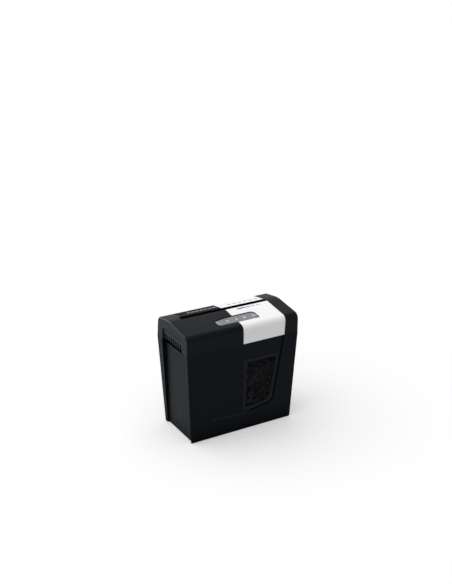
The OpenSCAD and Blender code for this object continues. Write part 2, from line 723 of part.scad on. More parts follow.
module throat_rear() color([0.1, 0.1, 0.11]) difference() {
    throat_guide(1);
    sensor_bore(1);
    for (x = [throat_x0 - 0.1, throat_x1 - 1.6]) translate([x, 0, 0])
        block([0, 1.7], [slot_y, slot_y + slot_w / 2 - 0.1], [plate_top - 1, throat_top + 1]);
}
sensor_z = plate_top + 10;
module sensor_bore(s) {
    translate([0, slot_y, sensor_z]) rotate([s > 0 ? -90 : 90, 0, 0])
        translate([0, 0, 1]) cylinder(h = 12, r = 2.6);
}

// ================= cutter block
function disc_outline(r, phase) = [for (i = [0:disc_teeth - 1])
    let (a = phase + 360 * i / disc_teeth, w = 360 / disc_teeth)
        each [turn(a, r), turn(a + w * 0.1, r - 2.6), turn(a + w * 0.55, r - 1.9)]];
module cutter(c, count, x0, hand) {
    for (k = [0:count - 1]) along_x(x0 + k * disc_pitch, x0 + k * disc_pitch + disc_t)
        translate(c) polygon([for (p = disc_outline(disc_r, k * 11)) [p[0], hand * p[1]]]);
    bar(c, first_disc_x - 1, first_disc_x + discs * disc_pitch - disc_pitch + disc_t + 1, spacer_r);
}
left_end_x = block_x0 - plate_t - 14;     // shaft ends beyond the synchronising gears
module cutter_front() color([0.62, 0.63, 0.65]) {
    cutter(front_shaft, discs, first_disc_x, 1);
    bar(front_shaft, left_end_x, layer_3 + face_3 + 2, journal_r);
}
module cutter_rear() color([0.62, 0.63, 0.65]) {
    cutter(rear_shaft, discs - 1, first_disc_x + disc_pitch / 2, -1);
    bar(rear_shaft, left_end_x, block_x1 + plate_t - 0.2, journal_r);
}
// teeth of a comb: fingers that fill the gaps between discs on the outer side of a shaft
module comb(c, s, count, x0, back_y) {
    back = s < 0 ? [back_y - comb_bar, back_y] : [back_y, back_y + comb_bar];
    block([block_x0 + 0.1, block_x1 - 0.1], back, [tray_z + 0.1, plate_top - 4]);
    gap = disc_pitch - disc_t;
    for (k = [0:count - 1]) along_x(x0 + disc_t + 0.3 + k * disc_pitch, x0 + gap + disc_t - 0.3 + k * disc_pitch)
        difference() {
            polygon([[back_y + s * 0.5, c[1] - 16], [back_y + s * 0.5, c[1] + 16],
                [c[0] - s * 2, c[1] + 13], [c[0] - s * 2, c[1] - 13]]);
            translate(c) circle(r = spacer_r + 0.6);
        }
}
module comb_front() color([0.2, 0.2, 0.22])
    comb(front_shaft, -1, discs - 1, first_disc_x, comb_front_y);
module comb_rear() color([0.2, 0.2, 0.22])
    comb(rear_shaft, 1, discs - 2, first_disc_x + disc_pitch / 2, comb_rear_y);
rods = [[front_shaft[0] - 16.5, plate_top - 3.5], [rear_shaft[0] + 16.5, plate_top - 3.5],
    [front_shaft[0] - 15, tray_z + 5], [rear_shaft[0] + 15, tray_z + 5]];
rod_r = 2.5;
module side_plate(x, y0, y1, holes) {
    difference() {
        block([x, x + plate_t], [y0, y1], [tray_z, plate_top]);
        for (c = [front_shaft, rear_shaft]) bar(c, x - 1, x + plate_t + 1, bush_r);
        for (c = rods) bar(c, x - 1, x + plate_t + 1, rod_r);
        for (h = holes) bar([h[0], h[1]], x - 1, x + plate_t + 1, h[2]);
    }
}
module side_plate_left() color([0.65, 0.66, 0.68])
    side_plate(block_x0 - plate_t, comb_front_y - comb_bar - 2, comb_rear_y + comb_bar + 2, []);
motor_hole = 14;                 // screw circle on the motor's face
module side_plate_right() color([0.65, 0.66, 0.68])
    side_plate(block_x1, motor_c[0] - motor_r - 1, comb_rear_y + comb_bar + 2,
        concat([[motor_c[0], motor_c[1], 5], [idler_one_c[0], idler_one_c[1], pin_r],
            [idler_two_c[0], idler_two_c[1], pin_r]],
            [for (a = [0, 180]) let (p = motor_c + turn(a, motor_hole)) [p[0], p[1], screw_r + 0.1]],
            [for (p = box_screws) [p[0], p[1], screw_r]]));
module tie_rods() color([0.7, 0.7, 0.72]) for (c = rods) {
    bar(c, block_x0 - plate_t - 2, block_x1 + plate_t, rod_r);
    bar(c, block_x0 - plate_t - 3, block_x0 - plate_t, rod_r + 1.5);
}
module shaft_bushes() color([0.75, 0.6, 0.35])
    for (c = [front_shaft, rear_shaft], x = [block_x0 - plate_t, block_x1]) difference() {
        bar(c, x, x + plate_t, bush_r);
        bar(c, x - 1, x + plate_t + 1, journal_r + run_fit);
    }

// ================= gears
module gear(c, teeth, m, phase, x, width) {
    along_x(x, x + width) translate(c) polygon(gear_outline(teeth, m, phase));
}
module cutter_gear() color([0.7, 0.7, 0.72]) difference() {
    union() {
        gear(front_shaft, 36, mod_3, 0, layer_3, face_3);
        bar(front_shaft, layer_3 - 4, layer_3 + 1, 9);
    }
    bar(front_shaft, layer_3 - 9, layer_3 + face_3 + 5, journal_r);
}
module sync_gear(c, phase) color([0.72, 0.72, 0.7]) difference() {
    union() {
        gear(c, 15, mod_sync, phase, left_end_x + 3.5, 8);
        bar(c, left_end_x + 11, block_x0 - plate_t - 0.3, 8.5);
    }
    bar(c, left_end_x, block_x0, journal_r);
}
module sync_gear_front() sync_gear(front_shaft, 0);
module sync_gear_rear() sync_gear(rear_shaft, phase_sync);
module idler_one() color([0.9, 0.88, 0.8]) difference() {
    union() {
        gear(idler_one_c, 48, mod_1, 0, layer_1, face_1);
        gear(idler_one_c, 12, mod_2, phase_one_small, layer_1 + face_1 - 1, layer_2 + face_2 - layer_1 - face_1 + 1);
        bar(idler_one_c, layer_2 + face_2 - 0.5, box_end - 0.3, 5);
    }
    bar(idler_one_c, layer_1 - 1, box_end + 1, pin_r + run_fit);
}
module idler_two() color([0.9, 0.88, 0.8]) difference() {
    union() {
        bar(idler_two_c, layer_1 - 0.5, layer_2 + 1, 4.5);
        gear(idler_two_c, 40, mod_2, 0, layer_2, face_2);
        gear(idler_two_c, 12, mod_3, phase_two_small, layer_2 + face_2 - 1, layer_3 + face_3 - layer_2 - face_2 + 1);
        bar(idler_two_c, layer_3 + face_3 - 0.5, box_end - 0.3, 5);
    }
    bar(idler_two_c, layer_1 - 1, box_end + 1, pin_r + run_fit);
}
module gear_pins() color([0.75, 0.75, 0.78])
    for (c = [idler_one_c, idler_two_c]) bar(c, block_x1, box_end + box_wall, pin_r);
module box_outline(g) {
    hull() {
        translate(front_shaft) circle(r = box_r[0] + g, $fn = 32);
        translate(idler_one_c) circle(r = box_r[1] + g, $fn = 32);
        translate(idler_two_c) circle(r = box_r[2] + g, $fn = 32);
        translate(motor_c) circle(r = box_r[3] + g, $fn = 32);
    }
}
// room around the cutter gear, the two idlers and the pinion
box_r = [mod_3 * 19 + 0.7, mod_1 * 25 + 0.8, mod_2 * 21 + 0.8, 8];
box_screws = [for (a = [40, -45]) front_shaft + turn(a, box_r[0] + box_wall + 4.5),
    idler_one_c + turn(180, box_r[1] + box_wall + 4.5)];
module gearbox_cover() color([0.25, 0.26, 0.28]) difference() {
    union() {
        along_x(block_x1 + plate_t, box_end + box_wall) box_outline(box_wall);
        for (p = box_screws) bar(p, block_x1 + plate_t, block_x1 + plate_t + 8, 5.5);
    }
    along_x(block_x1 + plate_t - 1, box_end) box_outline(0);
    for (c = [idler_one_c, idler_two_c]) bar(c, box_end - 1, far, pin_r);
    for (p = box_screws) bar(p, block_x1, block_x1 + plate_t + 10, screw_r);
}
module gearbox_screws() color([0.6, 0.6, 0.62]) for (p = box_screws) {
    bar(p, block_x1 + 0.5, block_x1 + plate_t + 8, screw_r);
    bar(p, block_x1 + plate_t + 8, block_x1 + plate_t + 10, 3);
}

// ================= motor
module motor_can() color([0.55, 0.56, 0.58]) difference() {
    bar(motor_c, motor_x0, motor_x1, motor_r);
    bar(motor_c, motor_x0 - 1, motor_x1 - 2, motor_r - 1.5);
    bar(motor_c, motor_x1 - 3, motor_x1 + 1, motor_shaft_r + run_fit);
    for (a = [0, 180]) bar(motor_c + turn(a, motor_hole), motor_x1 - 3, motor_x1 + 1, screw_r);
}
module motor_end_bell() color([0.15, 0.15, 0.16]) difference() {
    union() {
        bar(motor_c, motor_x0 - 3, motor_x0, motor_r);
        bar(motor_c, motor_x0 - eps, motor_x0 + 4, motor_r - 1.6);
    }
    bar(motor_c, motor_x0 - 4, motor_x0 + 5, motor_shaft_r + run_fit);
    for (a = [30:60:360]) bar(motor_c + turn(a, 13), motor_x0 - 4, motor_x0 + 5, 3);
}
module motor_screws() color([0.6, 0.6, 0.62])
    for (a = [0, 180]) let (c = motor_c + turn(a, motor_hole)) {
        bar(c, motor_x1 - 2, motor_x1 + plate_t, screw_r);
        bar(c, motor_x1 + plate_t, motor_x1 + plate_t + 0.8, 2.6);
    }
module motor_rotor() color([0.5, 0.4, 0.3]) {
    bar(motor_c, motor_x0 - 16, layer_1 + face_1 + 0.5, motor_shaft_r);
    bar(motor_c, motor_x0 + 18, motor_x1 - 14, 14);
    bar(motor_c, motor_x0 + 8, motor_x0 + 16, 7);
}
module motor_pinion() color([0.8, 0.7, 0.4]) difference() {
    gear(motor_c, 10, mod_1, phase_pinion, layer_1, face_1);
    bar(motor_c, layer_1 - 1, layer_1 + face_1 + 1, motor_shaft_r);
}
module motor_fan() color([0.2, 0.2, 0.22]) difference() {
    union() {
        bar(motor_c, motor_x0 - 14, motor_x0 - 5, 5);
        bar(motor_c, motor_x0 - 6.5, motor_x0 - 5, 19);
        for (a = [0:45:315]) along_x(motor_x0 - 13, motor_x0 - 6)
            translate(motor_c) rotate(a) translate([4, -0.8]) square([15, 1.6]);
    }
    bar(motor_c, motor_x0 - 15, motor_x0, motor_shaft_r);
}

// ================= electrics
module under_strip(z) {
    translate([0, strip_y + strip_w / 2, top_z(strip_y + strip_w / 2) + z]) rotate([top_slope, 0, 0])
        children();
}
module control_board() color([0.1, 0.35, 0.2]) {
    w = strip_l / 2 - 1;
    under_strip(-9) block([strip_x - w, strip_x + w], [-9, 9], [-1.6, 0]);
    under_strip(-9) for (x = [-34, 34]) block([strip_x + x - 4, strip_x + x + 4], [-4, 4], [-4, -1.5]);
    for (x = [4 - w, light_x[3] - strip_x - light_pitch / 2]) under_strip(-9) translate([strip_x + x, 0, -eps])
        cylinder(h = 9 - head_wall - 0.1, r = 2);
}
module light_guides() color([0.95, 0.95, 0.95])
    for (x = light_x) under_strip(-9) translate([x, 0, 0.1])
        cylinder(h = 9 - trim_t - 1.2, r = 2);
module power_board() color([0.1, 0.35, 0.2]) {
    block([board_x0, board_x1], [board_y0, board_y1], [board_z, board_z + 1.6]);
    // transformer, capacitors and relay
    translate([board_x0, (board_y0 + board_y1) / 2, board_z + 1.5]) {
        color([0.8, 0.7, 0.2]) translate([board_l * 0.13, 0, 0]) block([0, 30], [-13, 13], [0, 25]);
        color([0.15, 0.15, 0.2]) for (k = [0.51, 0.64]) translate([board_l * k, 0, 0])
            cylinder(h = 24, r = 6.5);
        color([0.1, 0.2, 0.5]) translate([board_l * 0.76, 0, 0]) block([0, 18], [-7, 7], [0, 15]);
    }
}
module sensor_emitter() color([0.15, 0.1, 0.2]) translate([0, slot_y, sensor_z])
    rotate([90, 0, 0]) {
        translate([0, 0, 4]) cylinder(h = 6, r = 2.5);
        translate([0, 0, slot_w / 2 + 2.6]) cylinder(h = 4, r = 3.5);
    }
module sensor_receiver() color([0.1, 0.1, 0.12]) translate([0, slot_y, sensor_z])
    rotate([-90, 0, 0]) {
        translate([0, 0, 4]) cylinder(h = 6, r = 2.5);
        translate([0, 0, slot_w / 2 + 2.6]) cylinder(h = 4, r = 3.5);
    }
// switch beside the rib's passage, with its lever over the rib
module safety_switch() color([0.12, 0.12, 0.14]) {
    block([key_x + 8, key_x + 28], [half_d - 16, half_d - 9], [tray_z, key_top - 0.5]);
    block([key_x + 20, key_x + 26], [half_d - 14.5, half_d - 10.5], [key_top - 1, key_top + 0.8]);
    block([key_x - 4, key_x + 24], [half_d - 14.5, half_d - 10.5], [key_top + 0.3, key_top + 0.8]);
}
module switch_bezel() color([0.05, 0.05, 0.05]) at_rear(rocker_x, rocker_z) difference() {
    union() {
        block([-12.5, 12.5], [0, 1.2], [-9, 9]);
        block([-10.3, 10.3], [-14, eps], [-6.8, 6.8]);
    }
    block([-8.5, 8.5], [-12, 2], [-5.4, 5.4]);
    bar([rocker_in, 0], -9.6, 9.6, 1.25);
}
rocker_in = -1.5;                // pivot depth behind the bezel's face
rocker_tip = 8;                  // the rocker rests tipped to one side
module switch_rocker() color([0.1, 0.1, 0.1]) at_rear(rocker_x, rocker_z)
    translate([0, rocker_in, 0]) rotate([-rocker_tip, 0, 0]) {
        along_x(-8.2, 8.2) polygon([[-4, -3], [-4, 3], [3.4, 4.8], [2.3, 0], [3.4, -4.8]]);
        bar([0, 0], -9.5, 9.5, 1.2);
    }
module cord_gland() color([0.05, 0.05, 0.05]) at_rear(gland_x, gland_z) rotate([90, 0, 0])
    difference() {
        union() {
            translate([0, 0, -1.4]) cylinder(h = head_wall + 3, r = 5.8);
            translate([0, 0, -1.5]) cylinder(h = 1.4, r = 8);
            translate([0, 0, head_wall + 0.2]) cylinder(h = 1.5, r = 7.4);
        }
        cylinder(h = 12, r = 3.6, center = true);
    }
module circlip(c) color([0.7, 0.7, 0.72]) difference() {
    bar(c, left_end_x + 2, left_end_x + 3.2, journal_r + 2);
    bar(c, left_end_x, left_end_x + 5, journal_r);
}
module circlip_front() circlip(front_shaft);
module circlip_rear() circlip(rear_shaft);

bin_shell();
window_frame();
window_pane();
shredded_paper();
rubber_feet();
head_cover();
end_cap();
front_trim();
rear_trim();
rear_insert();
control_strip();
head_base();
cover_screws();
throat_front();
throat_rear();
side_plate_left();
side_plate_right();
tie_rods();
shaft_bushes();
comb_front();
comb_rear();
cutter_front();
cutter_rear();
cutter_gear();
sync_gear_front();
sync_gear_rear();
idler_one();
idler_two();
gear_pins();
gearbox_cover();
gearbox_screws();
motor_can();
motor_end_bell();
motor_screws();
motor_rotor();
motor_pinion();
motor_fan();
control_board();
light_guides();
power_board();
sensor_emitter();
sensor_receiver();
safety_switch();
switch_bezel();
switch_rocker();
cord_gland();
circlip_front();
circlip_rear();
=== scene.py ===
"""A small cross-cut paper shredder: a cutting head that lifts off a tapered waste bin."""
import json
import math

import bmesh
import bpy
import numpy as np
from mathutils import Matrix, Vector

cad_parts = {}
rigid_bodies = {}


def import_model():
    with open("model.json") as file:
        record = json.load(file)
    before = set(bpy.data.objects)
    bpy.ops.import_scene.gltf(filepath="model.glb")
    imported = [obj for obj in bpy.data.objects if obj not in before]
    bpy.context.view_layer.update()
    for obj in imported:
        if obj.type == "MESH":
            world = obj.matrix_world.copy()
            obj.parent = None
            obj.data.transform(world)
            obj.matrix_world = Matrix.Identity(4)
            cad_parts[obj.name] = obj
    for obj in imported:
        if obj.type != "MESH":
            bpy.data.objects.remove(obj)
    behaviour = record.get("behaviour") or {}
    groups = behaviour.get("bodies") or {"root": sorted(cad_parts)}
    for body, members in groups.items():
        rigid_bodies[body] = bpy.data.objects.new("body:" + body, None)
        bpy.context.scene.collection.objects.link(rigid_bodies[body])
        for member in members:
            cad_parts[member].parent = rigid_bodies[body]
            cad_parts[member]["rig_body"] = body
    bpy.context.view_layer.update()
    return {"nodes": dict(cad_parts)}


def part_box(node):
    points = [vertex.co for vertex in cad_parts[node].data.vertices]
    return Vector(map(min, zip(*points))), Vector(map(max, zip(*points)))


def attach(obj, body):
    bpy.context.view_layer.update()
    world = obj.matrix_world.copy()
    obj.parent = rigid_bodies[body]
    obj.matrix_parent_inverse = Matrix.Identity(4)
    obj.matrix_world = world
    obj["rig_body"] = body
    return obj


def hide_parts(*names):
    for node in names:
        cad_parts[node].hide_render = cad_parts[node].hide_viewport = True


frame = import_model()


# ---- Camera
# A studio view of the front and the left end, from standing height.
def aimed(name, data, place, direction):
    """Adds a camera or a light at a place, looking in a direction."""
    thing = bpy.data.objects.new(name, data)
    thing.location = place
    thing.rotation_mode = "QUATERNION"
    thing.rotation_quaternion = Vector(direction).to_track_quat("-Z", "Y")
    bpy.context.scene.collection.objects.link(thing)
    return thing


camera = aimed("studio_camera", bpy.data.cameras.new("studio_camera"),
               (-1.1007, -1.8756, 1.1969), (0.4711, 0.8065, -0.3573))
camera.data.sensor_width = 36
camera.data.lens = 55.88
bpy.context.scene.camera = camera
bpy.context.scene.view_settings.view_transform = "Standard"


# ---- Floor and studio light
# A plain white floor under a soft dome, with one very broad lamp high over the left end and two
# cards behind that only show as a sheen. Mirrors see a pale backdrop under a dim studio.
def fill(node, inputs):
    """Sets a node's inputs to plain values, or links them to sockets."""
    for key, value in inputs.items():
        if isinstance(value, bpy.types.NodeSocket):
            node.id_data.links.new(value, node.inputs[key])
        else:
            node.inputs[key].default_value = value


def put(near, kind, inputs=(), **settings):
    """Adds a node to the tree that a socket belongs to, sets its properties, fills its inputs and
    returns its outputs."""
    node = near.id_data.nodes.new(kind)
    for key, value in settings.items():
        setattr(node, key, value)
    fill(node, dict(inputs))
    return node.outputs


def blend_of(factor, a, b):
    """Mixes colours a and b by a factor."""
    return put(factor, "ShaderNodeMix", {0: factor, 6: a, 7: b}, data_type="RGBA")[2]


def ranged(value, low, high, to_low, to_high):
    """Maps a value from one range to another, held at the ends."""
    return put(value, "ShaderNodeMapRange", {0: value, 1: low, 2: high, 3: to_low, 4: to_high})[0]


def worked(operation, a, b):
    """The result of a sum or a comparison of two values."""
    return put(a, "ShaderNodeMath", {0: a, 1: b}, operation=operation)[0]


def cloudy(place, scale, detail=2, **more):
    """Cloudy noise over a surface."""
    return put(place, "ShaderNodeTexNoise",
               {"Vector": place, "Scale": scale, "Detail": detail, **more})["Fac"]


def grey(level):
    """A neutral colour."""
    return level, level, level, 1


def new_material(name, **sockets):
    """A material whose shader has these plain socket values, with that shader and the place of
    each point on the piece."""
    material = bpy.data.materials.new(name)
    material.use_nodes = True
    shader = material.node_tree.nodes["Principled BSDF"]
    fill(shader, {key.replace("_", " "): value for key, value in sockets.items()})
    return material, shader, put(shader, "ShaderNodeTexCoord")["Object"]


def mesh_piece(name, points, faces, material, smooth=True):
    """A new object from an array of points and a list of faces."""
    mesh = bpy.data.meshes.new(name)
    mesh.from_pydata(points.reshape(-1, 3).tolist(), [], faces)
    mesh.polygons.foreach_set("use_smooth", np.full(len(mesh.polygons), smooth))
    mesh.materials.append(material)
    piece = bpy.data.objects.new(name, mesh)
    bpy.context.scene.collection.objects.link(piece)
    return piece


def background_rays(near):
    """1 for the rays that show the background: seen straight, in a mirror or through glass."""
    path = put(near, "ShaderNodeLightPath")
    straight = worked("MAXIMUM", path["Is Camera Ray"], path["Is Transmission Ray"])
    return worked("MAXIMUM", straight, path["Is Glossy Ray"])


floor_half = 60
floor_paint, shader, place = new_material("floor_paint", Roughness=0.9, Specular_IOR_Level=0.1,
                                          Emission_Color=grey(1))
white = blend_of(cloudy(place, 0.7), grey(0.71), grey(0.74))
shown = background_rays(place)
fill(shader, {"Base Color": blend_of(shown, grey(0.62), white),
              "Emission Strength": ranged(shown, 0, 1, 0, 0.25)})
corners = np.array([[-1, -1, 0], [1, -1, 0], [1, 1, 0], [-1, 1, 0]]) * floor_half
floor = mesh_piece("floor", corners, [[0, 1, 2, 3]], floor_paint, False)

# the dome is brighter behind the object, and straight rays see it white
world = bpy.data.worlds.new("soft_dome")
bpy.context.scene.world = world
world.use_nodes = True
tree = world.node_tree
toward = put(tree, "ShaderNodeSeparateXYZ", {"Vector": put(tree, "ShaderNodeTexCoord")["Generated"]})
sky = tree.nodes["Background"]
fill(sky, {"Strength": 0.36,
           "Color": blend_of(ranged(toward["Y"], -0.8, 0.6, 0, 1), grey(0.62), grey(1.15))})
backdrop = blend_of(ranged(toward["Z"], 0.24, 0.50, 0, 1), grey(0.88), (0.45, 0.46, 0.48, 1))
straight = put(tree, "ShaderNodeLightPath")["Is Camera Ray"]
seen = put(tree, "ShaderNodeBackground",
           {"Color": blend_of(straight, backdrop, grey(1)), "Strength": 1})[0]
mixed = put(tree, "ShaderNodeMixShader", {0: background_rays(tree), 1: sky.outputs[0], 2: seen})[0]
fill(tree.nodes["World Output"], {"Surface": mixed})

lamp = aimed("broad_lamp", bpy.data.lights.new("broad_lamp", "SUN"), (0, 0, 0), (0.38, -0.08, -0.92))
lamp.data.energy = 2.45
lamp.data.angle = math.radians(100)


def sheen_card(name, size, place, energy):
    """A white card that faces the object's middle and only shows as a sheen on what faces it."""
    middle = Vector((0, 0, 0.2))
    card = aimed(name, bpy.data.lights.new(name, "AREA"), place, middle - Vector(place))
    card.data.shape = "RECTANGLE"
    card.data.size, card.data.size_y = size
    card.data.energy = energy
    card.visible_diffuse = False


sheen_card("left_card", (1.8, 1.6), (-1.5, 2.4, 1.0), 95)
sheen_card("back_card", (2.4, 1.6), (1.5, 2.1, 2.0), 8)


# ---- Bin
# An injection-moulded waste bin of black polystyrene, tapered so that it leaves its mould, with a
# fine spark-eroded grain. Its ends are recessed and a raised frame sweeps under the window.
def new_group(name, inputs, outputs):
    """An empty group of shader nodes that puts out numbers, with the sockets that it is given and
    the node that it fills. An input is a number with its usual value, or a vector where that is
    None."""
    group = bpy.data.node_groups.new(name, "ShaderNodeTree")
    for label, value in inputs.items():
        kind = "NodeSocketVector" if value is None else "NodeSocketFloat"
        socket = group.interface.new_socket(label, in_out="INPUT", socket_type=kind)
        if value is not None:
            socket.default_value = value
    for label in outputs:
        group.interface.new_socket(label, in_out="OUTPUT", socket_type="NodeSocketFloat")
    return group, group.nodes.new("NodeGroupInput").outputs, group.nodes.new("NodeGroupOutput")


def placed(near, group, **inputs):
    """Places a group of shader nodes in a material, fills its inputs and returns its outputs."""
    return put(near, "ShaderNodeGroup", inputs, node_tree=group)


# spark-eroded mould texture: round pits over a finer roughness
mould_grain, given, result = new_group("mould_grain", {"Vector": None, "Scale": 1500.0},
                                       ["Height", "Tone"])
place, scale = given["Vector"], given["Scale"]
pits = put(place, "ShaderNodeTexVoronoi", {"Vector": place, "Scale": scale}, feature="SMOOTH_F1")
fill(result, {"Height": worked("ADD", pits["Distance"], cloudy(place, scale, 3)),
              "Tone": cloudy(place, 9.0, 4, Roughness=0.6)})

# faint smears where hands and cloths have polished the grain
handling, given, result = new_group("handling", {"Vector": None, "Scale": 14.0}, ["Smear"])
stretch = put(result, "ShaderNodeMapping", {"Vector": given["Vector"], "Rotation": (0.3, 0.7, 0.4),
                                            "Scale": (1, 2.6, 1.4)})[0]
smear = cloudy(stretch, given["Scale"], 5, Distortion=1.2)
fill(result, {"Smear": ranged(smear, 0.35, 0.7, 0, 1)})


def paint(red, green, blue, gain=1):
    """A colour given in steps of 0 to 255 on a paint chart, as linear light."""
    steps = np.array([red, green, blue]) / 255
    linear = np.where(steps < 0.04045, steps / 12.92, ((steps + 0.055) / 1.055) ** 2.4)
    return (*(linear * gain).tolist(), 1)


def smeared(place, scale=14.0):
    """Smears of handling over a surface, from 0 to 1."""
    return placed(place, handling, Vector=place, Scale=scale)["Smear"]


def bumped(height, strength, distance):
    """A normal roughened by a height."""
    return put(height, "ShaderNodeBump",
               {"Height": height, "Strength": strength, "Distance": distance})[0]


worn_and_highlit_of = {}


def moulded_plastic(name, colour, edge_wear_and_highlight_colour, rough, scale=1500, depth=0.00004, specular=0.05):
    """Grained plastic in a paint-chart colour, mottled by the flow of the melt and smeared by
    handling. Its rounded edges get a paler finish of the same make: partly rubbed smooth, and
    partly a painted highlight along them."""
    if edge_wear_and_highlight_colour:
        worn_and_highlit_of[name] = moulded_plastic(name + "_worn_and_highlit", edge_wear_and_highlight_colour, None, rough - 0.06, scale,
                                          depth / 2, specular)
    material, shader, place = new_material(name, Specular_IOR_Level=specular,
                                           Specular_Tint=(0.82, 0.92, 1, 1))
    grain = placed(place, mould_grain, Vector=place, Scale=scale)
    fill(shader, {"Base Color": blend_of(grain["Tone"], paint(*colour, 0.86), paint(*colour, 1.14)),
                  "Roughness": ranged(smeared(place), 0, 1, rough + 0.02, rough - 0.02),
                  "Normal": bumped(grain["Height"], 0.6, depth)})
    return material


def joined(parts):
    """Points and faces of several closed surfaces as one list."""
    points, faces, start = [], [], 0
    for part_points, *part_faces in parts:
        for some in part_faces:
            faces += (np.asarray(some) + start).tolist()
        points.append(part_points)
        start += len(part_points)
    return np.concatenate(points), faces


def prism(first, second):
    """A closed solid between two matching outlines, given in the same order round."""
    count = len(first)
    number = np.arange(count)
    after = np.roll(number, -1)
    wall = np.stack([number, after, after + count, number + count], -1)
    return np.concatenate([first, second]), wall, [number[::-1].tolist()], [(number + count).tolist()]


def solid_piece(name, parts, material, smooth=True):
    """A new object from several closed surfaces, with its faces turned outwards."""
    piece = mesh_piece(name, *joined(parts), material, smooth)
    shape = bmesh.new()
    shape.from_mesh(piece.data)
    bmesh.ops.recalc_face_normals(shape, faces=shape.faces)
    shape.to_mesh(piece.data)
    shape.free()
    if smooth:
        piece.data.set_sharp_from_angle(angle=math.radians(35))
    return piece


def worked_on(piece, name, kind, **settings):
    """Adds a modifier to a piece and sets its properties."""
    modifier = piece.modifiers.new(name, kind)
    for key, value in settings.items():
        setattr(modifier, key, value)


def cut_out(mesh, parts):
    """A mesh with closed solids cut out of it."""
    tool = solid_piece("cutting_tool", parts, None, False)
    work = bpy.data.objects.new("cut_piece", mesh)
    bpy.context.scene.collection.objects.link(work)
    worked_on(work, "cut", "BOOLEAN", operation="DIFFERENCE", solver="EXACT", object=tool)
    graph = bpy.context.evaluated_depsgraph_get()
    left = bpy.data.meshes.new_from_object(work.evaluated_get(graph))
    for thing in (tool, work):
        bpy.data.objects.remove(thing)
    return left


def welded(mesh, flat=None):
    """Joins a mesh's corner points and, given an angle, makes its flat facets one face."""
    shape = bmesh.new()
    shape.from_mesh(mesh)
    bmesh.ops.remove_doubles(shape, verts=shape.verts, dist=4e-5)
    if flat:
        bmesh.ops.dissolve_limit(shape, angle_limit=math.radians(flat), verts=shape.verts,
                                 edges=shape.edges)
    shape.to_mesh(mesh)
    shape.free()


def fitted(piece, body, node=None):
    """Says what body a new piece rides on and what solid it replaces."""
    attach(piece, body)
    if node:
        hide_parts(node)


def moulded_copy(node, edge, material, name=None, flat=0.5, cuts=()):
    """A copy of a solid as it leaves the mould, with any openings cut to their full size: its
    flat facets are made one face, and its sharp edges are rounded to a radius."""
    solid = frame["nodes"][node]
    mesh = solid.data.copy()
    welded(mesh, None if cuts else flat)
    if cuts:
        mesh = cut_out(mesh, cuts)
        welded(mesh, flat)
    mesh.materials.clear()
    # the second, paler finish goes on the rounded edges: rubbed wear and a painted highlight
    for finish_of in (material, worn_and_highlit_of.get(material.name, material)):
        mesh.materials.append(finish_of)
    mesh.polygons.foreach_set("use_smooth", np.full(len(mesh.polygons), True))
    mesh.polygons.foreach_set("material_index", np.zeros(len(mesh.polygons), int))
    piece = bpy.data.objects.new(name or node + "_moulding", mesh)
    bpy.context.scene.collection.objects.link(piece)
    worked_on(piece, "rounded_edges", "BEVEL", width=edge, segments=2, limit_method="ANGLE",
              angle_limit=math.radians(28), use_clamp_overlap=False, miter_outer="MITER_ARC",
              material=1)
    worked_on(piece, "flat_faces_stay_flat", "WEIGHTED_NORMAL", mode="FACE_AREA", weight=80,
              keep_sharp=True)
    fitted(piece, solid["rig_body"], node)
    return piece


def grid_faces(rows, columns, wrap_rows=False, wrap_columns=False):
    """Quads of a grid of points numbered row by row. A wrap joins the last row or column to the
    first."""
    r, c = np.meshgrid(np.arange(rows - (not wrap_rows)), np.arange(columns - (not wrap_columns)),
                       indexing="ij")
    r1, c1 = (r + 1) % rows, (c + 1) % columns
    quads = np.stack([r * columns + c, r1 * columns + c, r1 * columns + c1, r * columns + c1], -1)
    return quads.reshape(-1, 4)


def bar_faces(rows):
    """Quads of a closed bar that has four corners at each of its stations."""
    last = rows * 4 - 1
    ends = [[0, 1, 2, 3], [last, last - 1, last - 2, last - 3]]
    return np.concatenate([grid_faces(rows, 4, wrap_columns=True), ends])


# the groove beside the frame ends at groove_left, and a ledge fades out from there to fade_x
fade_x, groove_left = -0.091, 0.017
groove_wide, groove_deep = 0.0050, 0.0016
front_lean = 0.04


def groove_edge(steps):
    """Outer edge of the groove beside the raised frame, from the top down and to the left: a
    leaning line, a quadratic Bezier bend and a shallow arc of 505 mm radius."""
    def arc_z(x):
        return 0.554 - np.sqrt(0.505 ** 2 - (x + 0.012) ** 2)

    def line_x(z):
        return 0.1225 - (0.250 - z) * 0.148

    bend_z, corner_x, run_x = 0.074, 0.0942, 0.0742
    t = np.linspace(0, 1, steps)[:, None]
    start, middle, end = (np.array(point) for point in (
        (line_x(bend_z), bend_z), (corner_x, arc_z(corner_x)), (run_x, arc_z(run_x))))
    bend = start * (1 - t) ** 2 + middle * 2 * t * (1 - t) + end * t ** 2
    high = np.linspace(0.2515, bend_z, steps)
    low = np.linspace(run_x, fade_x, steps)
    return np.concatenate([np.stack([line_x(high), high], -1), bend[1:-1],
                           np.stack([low, arc_z(low)], -1)])


def beside(edge, inward, outward):
    """Points on the bin's leaning front, moved from an edge towards the window and out of the
    face."""
    along = np.gradient(edge, axis=0)
    along /= np.linalg.norm(along, axis=1, keepdims=True)
    x, z = (edge + inward * np.stack([along[:, 1], -along[:, 0]], -1)).T
    return np.stack([x, -0.074 - front_lean * z - outward, z], -1)


edge = groove_edge(14)
in_groove = edge[:, 0] > groove_left
groove = prism(*(np.concatenate([beside(edge[in_groove], 0.0, outward),
                                 beside(edge[in_groove], groove_wide, outward)[::-1]])
                 for outward in (0.004, -groove_deep)))
bin_black = moulded_plastic("bin_black", (14, 18, 22), (26, 31, 35), 0.42, specular=0.045)
